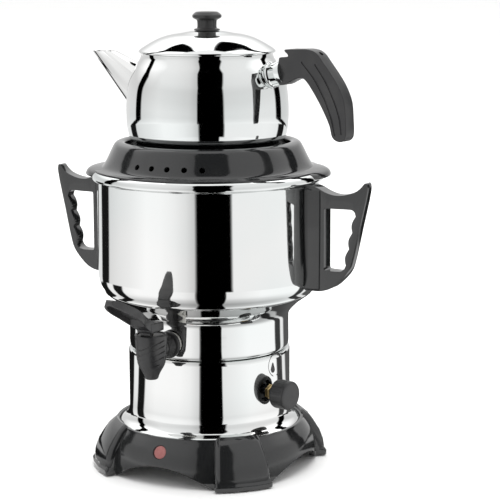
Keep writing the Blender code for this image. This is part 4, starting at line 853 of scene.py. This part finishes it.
makeSideHandle("rightHandle", 90, "handle_right")
makeSideHandle("leftHandle", -90, "handle_left")
print("side handles moulded")


# black tap: cup with its nozzle, ribbed barrel, bonnet and spoon-shaped lever
tap = {
    "reach": 113.0, "top": 150.7, "cup": [(14.7, 150.7), (15.2, 150.3), (15.3, 149.4), (15.25, 146), (14.9, 140),
            (14.2, 132), (13.5, 126), (12.6, 121.9), (11.4, 119.4), (9.6, 116.4), (7.9, 113.2), (7.1, 111.2),
            (6.6, 109.6), (6.0, 108.4), (5.2, 107.85), (4.2, 107.8), (3.8, 108.2)],
    "inside": [(3.8, 128), (8.5, 128), (8.5, 146), (12.6, 146), (12.6, 149.9), (13.1, 150.7), (14.7, 150.7)],
    "grooves": ((141.5, 15.1), (136.2, 14.9), (131.0, 14.5), (125.8, 13.9), (120.8, 12.5)), "grooveTilt": 20,
    "grooveRadius": 0.75, "barrelHeight": 134.0, "barrelRadius": 9.5,
    "stub": [(0, 66.3), (7, 66.3), (7, 80.9), (13, 80.9), (13, 83.8), (12.5, 84.3), (9.5, 84.3)],
    "ribs": (86.0, 88.3, 90.6, 92.9, 95.2), "ribWidth": 1.1, "ribHeight": 1.2, "barrelEnd": 101, "bore": 4.5,
    "chamber": (8.5, 128, 146.5)}
bonnet = {
    "plate": [(2.5, 150.1), (11.6, 150.1), (12.1, 149.9), (12.3, 149.4), (12.3, 146.3), (8.2, 146.3), (8.2, 143),
              (2.5, 143)],
    "earRadius": 2.7, "earFoot": 148.2, "earWidth": 10.4, "pinHole": 1.8}
tapLever = {
    "hinge": (121.0, 157.0), "run": 65.0, "rise": 38.5, "width": 24.5, "rim": 1.8,
    "side": [(-0.02, 0.18), (0.046, 0.24), (0.15, 0.32), (0.292, 0.43), (0.523, 0.66), (0.754, 0.85), (0.892, 0.97),
             (0.946, 1), (0.988, 0.985), (1, 0.93), (0.985, 0.87), (0.862, 0.735), (0.677, 0.565), (0.446, 0.365),
             (0.262, 0.17), (0.16, 0.06), (0.09, 0), (0.046, -0.026), (-0.02, -0.026)],
    "plan": [(-0.5, 0.62), (0.1, 0.64), (0.22, 0.72), (0.32, 0.87), (0.42, 0.965), (0.538, 1), (0.65, 0.97),
             (0.75, 0.888), (0.85, 0.737), (0.92, 0.562), (0.97, 0.349), (0.99, 0.203), (1, 0)],
    "hollow": [(0.25, 0.30), (0.34, 0.40), (0.523, 0.585), (0.754, 0.79), (0.877, 0.90), (0.94, 0.92), (0.99, 0.85),
               (0.99, 0.70), (0.862, 0.60), (0.677, 0.43), (0.446, 0.23), (0.3, 0.08), (0.25, 0.1)],
    "hub": [(124.4, 153.4), (126.4, 158), (127.2, 163.4), (103.8, 161.4), (103, 160.4), (103, 153.4)], "hubHalf": 8.2,
    "cheek": 2.3, "channelFront": 124.0, "channelTop": 160.0, "slot": (2.7, 1.9), "pivot": 2.0, "edge": 1.6,
    "pinSeat": 7.0}
pins = {
    "half": 6.7, "radius": 1.5, "eye": (2.5, 4.5),
    "stem": [(0, 157), (2, 157), (2, 133.3), (6, 133.3), (6, 131.3), (0, 131.3)]}
gasket = {"radius": 11.4, "ends": (74.4, 80.6), "hole": 7.3, "neck": 78.6}


def lyingRod(name, radius, reach, height, half):
    return rod(name, radius, placeAt(0, reach, height, -half), placeAt(0, reach, height, half), steps=32)


def makeTapBody():
    cup = [*softLine(tap["cup"], 2), *tap["inside"]]
    piece = turnedPiece("tapBody", cup, placeAt(0, tap["reach"], 0), steps=96)
    line = list(tap["stub"])
    thin, wide = tap["barrelRadius"], tap["ribWidth"]
    tall = thin + tap["ribHeight"]
    for reach in tap["ribs"]:
        line += [(thin, reach - wide), (tall - 0.2, reach - wide / 2), (tall, reach - wide / 4),
                 (tall, reach + wide / 4), (tall - 0.2, reach + wide / 2), (thin, reach + wide)]
    line += [(thin, tap["barrelEnd"]), (0, tap["barrelEnd"])]
    barrel = turnedPiece("tapBarrel", line, placeAt(0, 0, tap["barrelHeight"]), outward(0), steps=72)
    weld(piece, barrel)
    radius, low, high = tap["chamber"]
    carve(piece, upright("tapChamber", radius, 0, tap["reach"], low, high, 64))
    carve(piece, radial("tapBore", tap["bore"], 0, 60, tap["reach"], tap["barrelHeight"], 40))
    for height, radius in tap["grooves"]:
        carve(piece, grooveTool(height, radius))
    dress(piece, 38, "base", "satin_black", "tap_body")


def grooveTool(height, radius):
    # a thin tilted ring that leaves a shallow slanting groove in the cup
    deselectAll()
    bpy.ops.mesh.primitive_torus_add(
        location=placeAt(0, tap["reach"], height), major_radius=(radius + 0.3) * mm,
        minor_radius=tap["grooveRadius"] * mm, major_segments=72, minor_segments=8,
        rotation=(radians(tap["grooveTilt"] * 0.5), radians(-tap["grooveTilt"]), 0))
    piece = named("grooveTool")
    bpy.ops.object.transform_apply(location=True, rotation=True, scale=True)
    return piece


def makeBonnet():
    line = bonnet["plate"]
    piece = turnedPiece("tapBonnet", [*line, line[0]], placeAt(0, tap["reach"], 0), steps=80)
    reach, height = tapLever["hinge"]
    radius = bonnet["earRadius"]
    ear = [(reach + radius * cos(radians(turn)), height + radius * sin(radians(turn))) for turn in range(0, 181, 12)]
    ear += [(reach - radius, bonnet["earFoot"]), (reach + radius, bonnet["earFoot"])]
    lug = platePiece("bonnetEar", [ear], bonnet["earWidth"], 0)
    weld(piece, softEdges(lug, 0.4, 60, 2))
    carve(piece, lyingRod("earHole", bonnet["pinHole"], reach, height, 10))
    dress(piece, 38, "base", "satin_black", "tap_bonnet")


def paddlePlace(share):
    (reach, height), (along, up) = tapLever["hinge"], share
    return reach + tapLever["run"] * along, height + tapLever["rise"] * up


def paddleOval(name, shrink):
    # an upright oval through the paddle, at right angles to its slope
    run, rise, wide = tapLever["run"], tapLever["rise"], tapLever["width"] / 2
    slope = atan2(rise, run)
    through = (outward(0) * -sin(slope) + Vector((0, 0, cos(slope)))) * 30 * mm
    half = softLine([(along * (run - shrink), max(wide * across - shrink, 0)) for along, across in tapLever["plan"]], 4)
    reach, height = tapLever["hinge"]
    edge = [placeAt(0, reach + along, height + along * rise / run, across) - through
            for along, across in [*half, *[(x, -y) for x, y in half[-2::-1]]]]
    return pushedPiece(name, [edge], through * 2)


def makeLever():
    paddle = platePiece("tapLever", [softLine([paddlePlace(p) for p in tapLever["side"]], 4)], tapLever["width"], 0)
    combine(paddle, "INTERSECT", paddleOval("paddleOval", 0))
    softEdges(paddle, tapLever["edge"], 50, 4)
    under = platePiece("paddleHollow", [softLine([paddlePlace(p) for p in tapLever["hollow"]], 3)], 30, 0)
    combine(under, "INTERSECT", paddleOval("hollowOval", tapLever["rim"]))
    carve(paddle, softEdges(under, 0.8, 50, 2))
    hub = platePiece("leverHub", [tapLever["hub"]], 2 * tapLever["hubHalf"], 0)
    weld(paddle, softEdges(hub, 0.9, 50, 3))
    top, front = tapLever["channelTop"], tapLever["channelFront"]
    channel = platePiece("leverChannel", [[(95, 150), (95, top), (front, top), (front, 150)]],
                         2 * (tapLever["hubHalf"] - tapLever["cheek"]), 0)
    carve(paddle, channel)
    along, tall = tapLever["slot"]
    reach, height = tap["reach"], tapLever["hinge"][1]
    corners = [(reach + along * x, height + tall * y) for x, y in ((-1, -1), (-1, 1), (1, 1), (1, -1))]
    slot = platePiece("leverSlot", [corners], 2 * tapLever["pinSeat"], 0)
    carve(paddle, softEdges(slot, 0.8, 50, 3))
    carve(paddle, lyingRod("leverPivot", tapLever["pivot"], *tapLever["hinge"], tapLever["pinSeat"]))
    dress(paddle, 38, "lever", "satin_black", "tap_lever")


def makeLeverPins():
    pin = softEdges(lyingRod("leverPin", pins["radius"], *tapLever["hinge"], pins["half"]), 0.3, 60, 2)
    dress(pin, 40, "base", "plain_steel", "lever_pin")
    stem = turnedPiece("valveStem", pins["stem"], placeAt(0, tap["reach"], 0), steps=40)
    for radius, half in (pins["eye"], (pins["radius"], pins["half"])):
        weld(stem, lyingRod("stemPin", radius, tap["reach"], tapLever["hinge"][1], half))
    dress(softEdges(stem, 0.2, 60, 2), 40, "valve", "brass", "valve_stem")


def makeGasket():
    # the ring between the tap's flange and the boiler's neck, cut to the neck's curve
    piece = radial("tapGasket", gasket["radius"], 0, *gasket["ends"], tap["barrelHeight"], 64)
    carve(piece, radial("stubHole", gasket["hole"], 0, 60, 90, tap["barrelHeight"], 64))
    carve(piece, upright("neckTool", gasket["neck"], 0, 0, 110, 160, 160))
    dress(softEdges(piece, 0.3, 60, 2), 40, "base", "white_rubber", "tap_gasket")


makeTapBody()
makeBonnet()
makeLever()
makeLeverPins()
makeGasket()
print("tap turned and fitted")


# thermostat knob, hollow behind, and the warmth mark on the steel above it
knob = {
    "azimuth": 77, "height": 82, "foot": 81.0, "line": [
        (0, 23), (9.6, 23), (12.4, 22.9), (13.3, 22.5), (13.85, 21.7), (14, 20.6), (14, 12), (14, 8.0), (13.8, 7.2),
        (13.2, 6.7), (12.6, 6.6), (10.7, 6.6), (10.5, 6.9), (10.5, 13), (5.4, 13), (5.4, 1.6), (5, 1.2), (3.2, 1.2),
        (3.15, 17), (0, 17)],
    "flutes": 30, "fluteRadius": 0.7, "fluteReach": 14.35, "fluteEnds": (5, 19.6)}
warmthMark = {
    "azimuth": 82.3, "height": 107.8, "inner": (9.6, 10.5), "outer": (11.5, 11.9), "shift": 1.3,
    "start": 282, "sweep": 328, "parts": 40, "skin": (79.1, 79.45), "skinHeights": (90, 125), "toolReach": 70,
    "drop": [(-8.2, -3.5), (-6.6, -6.6), (-3.4, -7.2), (-1.6, -5.0), (-2.4, -2.0), (-5.0, 3.2), (-8.2, -3.5)]}


def makeKnob():
    origin = placeAt(knob["azimuth"], knob["foot"], knob["height"])
    piece = turnedPiece("thermostatKnob", knob["line"], origin, outward(knob["azimuth"]), steps=96)
    low, high = (origin + outward(knob["azimuth"]) * step * mm for step in knob["fluteEnds"])
    for number in range(knob["flutes"]):
        turn = 2 * pi * number / knob["flutes"]
        offset = (sideways(knob["azimuth"]) * cos(turn) + Vector((0, 0, sin(turn)))) * knob["fluteReach"] * mm
        carve(piece, rod("gripFlute", knob["fluteRadius"], low + offset, high + offset, steps=10))
    dress(piece, 32, "knob", "satin_black", "thermostat_knob")


def makeWarmthMark():
    # a thin dark crescent and drop on the steel, cut from a thin drum by an upright shape
    azimuth, parts, (inside, outside) = warmthMark["azimuth"], warmthMark["parts"], warmthMark["skin"]
    low, high = warmthMark["skinHeights"]
    turns = [radians(warmthMark["start"] + warmthMark["sweep"] * step / parts) for step in range(parts + 1)]
    crescent = []
    for (wide, tall), shift in ((warmthMark["outer"], 0), (warmthMark["inner"], warmthMark["shift"])):
        crescent += [(wide * cos(turn) - shift, tall * sin(turn)) for turn in turns]
        turns.reverse()
    marks = []
    for shape in (crescent, softLine(warmthMark["drop"], 3)[:-1]):
        spots = [placeAt(azimuth, warmthMark["toolReach"], warmthMark["height"] + up, across) for across, up in shape]
        tool = pushedPiece("warmthShape", [spots], outward(azimuth) * 14 * mm)
        skin = [(inside, low), (inside, high), (outside, high), (outside, low), (inside, low)]
        drum = closeEnds(turnedPiece("warmthMark", skin, steps=120, sweep=40, start=azimuth - 20))
        marks.append(combine(drum, "INTERSECT", tool))
    dress(joined(marks), 40, "base", "satin_black")


makeKnob()
makeWarmthMark()
print("knob turned and mark printed")


# steel spout and ferrule, black grip and lid knob
spout = {
    "azimuth": -97.7, "root": (77, 366), "tip": (133, 403.4), "rootRadius": 21.5, "tipRadius": 7.2,
    "wall": sqrt(1.053),  # measured across the cone's axis
    "inward": 16, "beyond": 12, "lip": 403.0, "potGap": 0.3}
ferrule = {
    "azimuth": 82.3, "reach": 71.5, "height": 385.9, "tilt": 13, "line": [
        (2.3, -10), (10.9, -10), (10.9, 2.2), (11.2, 2.5), (12.0, 2.9), (12.5, 3.7), (12.6, 4.7), (12.4, 5.7),
        (11.7, 6.5), (11.3, 7.0), (11.3, 8.0), (11.5, 13), (12, 18.6), (11.8, 19), (2.3, 19)]}
grip = {
    "azimuth": 82.3, "foot": 328.9, "rootReach": 88.0, "length": 77.0, "height": 83.5, "thickness": 15, "edge": 4.2,
    "outline": [(0, 0.72), (0, 0.885), (0.02, 0.9), (0.1, 0.905), (0.13, 0.915), (0.125, 0.935), (0.085, 0.965),
                (0.08, 0.982), (0.1, 0.99), (0.261, 0.996), (0.389, 1), (0.494, 0.983), (0.565, 0.941), (0.623, 0.878),
                (0.798, 0.681), (0.878, 0.564), (0.938, 0.428), (0.958, 0.218), (0.963, 0.109), (0.95, 0.04),
                (0.9, 0.001), (0.84, 0), (0.785, 0.025), (0.757, 0.061), (0.728, 0.164), (0.61, 0.37), (0.478, 0.551),
                (0.41, 0.63), (0.365, 0.667), (0.312, 0.679), (0.207, 0.653), (0.07, 0.595), (0, 0.6)],
    "grooves": ([(0.33, 0.86), (0.5, 0.69), (0.64, 0.49), (0.745, 0.28), (0.81, 0.06)],
                [(0.52, 0.84), (0.66, 0.67), (0.78, 0.47), (0.865, 0.27), (0.9, 0.08)]),
    "grooveHalf": 0.9, "grooveDepth": 1.1, "dimple": (0.54, 0.945), "dimpleRadius": 2.4, "dimpleDepth": 2.2,
    "screwEnds": (10, 29.6), "screwHole": 2.3}
lidKnob = {
    "line": [(2.4, 426.5), (11.9, 426.5), (12.3, 426.8), (12.4, 427.3), (12.2, 427.8), (11.2, 428.2), (9.9, 428.6),
             (9.3, 429.6), (9.2, 431.5), (9.3, 434.0), (9.5, 435.8), (10.4, 436.9), (12.6, 438.0), (13.8, 439.1),
             (14.1, 440.2), (13.8, 441.3), (12.7, 442.4), (11.4, 443.5), (10.4, 444.1), (8.8, 444.4), (4, 444.55),
             (0, 444.6)],
    "flutes": 16, "fluteRadius": 0.8, "fluteReach": 9.75, "fluteEnds": (429.6, 436.4)}


def spoutCone(name, shrink):
    run, rise = (spout["tip"][n] - spout["root"][n] for n in (0, 1))
    length = hypot(run, rise)
    taper = (spout["rootRadius"] - spout["tipRadius"]) / length
    ends = []
    for share in (-spout["inward"], length + spout["beyond"]):
        reach = spout["root"][0] + run * share / length
        ends.append((placeAt(spout["azimuth"], reach, spout["root"][1] + rise * share / length),
                     spout["rootRadius"] - taper * share - shrink))
    return rod(name, ends[0][1], ends[0][0], ends[1][0], ends[1][1], steps=96)


def potForm():
    outer = shiftedLine(softLine(teapot["wall"], 4), -spout["potGap"])
    return turnedPiece("potForm", [(0, outer[0][1]), *outer[:-1], (0, outer[-1][1])], steps=96)


def makeSpout():
    piece = spoutCone("teapotSpout", 0)
    carve(piece, spoutCone("spoutWay", spout["wall"]))
    carve(piece, potForm())
    carve(piece, box("lipTool", placeAt(spout["azimuth"], 120, spout["lip"] + 40), (0.2, 0.2, 0.08)))
    dress(softEdges(piece, 0.3, 60, 2), 30, "teapot", "polished_steel", "teapot_spout")


def ferrulePlace(step):
    tilt = radians(ferrule["tilt"])
    return placeAt(ferrule["azimuth"], ferrule["reach"] + step * cos(tilt), ferrule["height"] + step * sin(tilt))


def makeFerrule():
    tilt = radians(ferrule["tilt"])
    axis = outward(ferrule["azimuth"]) * cos(tilt) + Vector((0, 0, sin(tilt)))
    piece = turnedPiece("potFerrule", [*ferrule["line"], ferrule["line"][0]], ferrulePlace(0), axis, steps=72)
    carve(piece, potForm())
    dress(piece, 35, "teapot", "polished_steel", "teapot_ferrule")


def gripPlace(share):
    return grip["rootReach"] + grip["length"] * share[0], grip["foot"] + grip["height"] * share[1]


def makeGrip():
    outline = [gripPlace(share) for share in grip["outline"]]
    piece = platePiece("teapotGrip", [softLine([*outline, outline[0]], 3)[:-1]], grip["thickness"], grip["azimuth"])
    softEdges(piece, grip["edge"], 60, 6)
    half = grip["thickness"] / 2
    for groove in grip["grooves"]:
        path = softLine([gripPlace(share) for share in groove], 4)
        loop = [*shiftedLine(path, grip["grooveHalf"]), *shiftedLine(path, -grip["grooveHalf"])[::-1]]
        for across in (half, -half):
            tool = platePiece("gripGroove", [loop], 2 * grip["grooveDepth"], grip["azimuth"], across)
            carve(piece, softEdges(tool, 0.5, 60, 2))
    reach, height = gripPlace(grip["dimple"])
    ends = [placeAt(grip["azimuth"], reach + step, height + step) for step in (-grip["dimpleDepth"], 5)]
    carve(piece, rod("gripDimple", grip["dimpleRadius"], *ends, steps=40))
    ends = [ferrulePlace(step) for step in grip["screwEnds"]]
    carve(piece, rod("screwHole", grip["screwHole"], *ends, steps=24))
    dress(piece, 38, "teapot", "satin_black", "teapot_handle")


def makeLidKnob():
    line = [*softLine(lidKnob["line"], 3), (0, 434.8), (2.4, 434.8), lidKnob["line"][0]]
    piece = turnedPiece("lidKnob", line, steps=96)
    low, high = lidKnob["fluteEnds"]
    for number in range(lidKnob["flutes"]):
        carve(piece, upright("knobFlute", lidKnob["fluteRadius"], 360 * number / lidKnob["flutes"],
                                             lidKnob["fluteReach"], low, high, 10))
    dress(piece, 38, "lid", "satin_black", "lid_knob")


makeSpout()
makeFerrule()
makeGrip()
makeLidKnob()
print("teapot fitted")
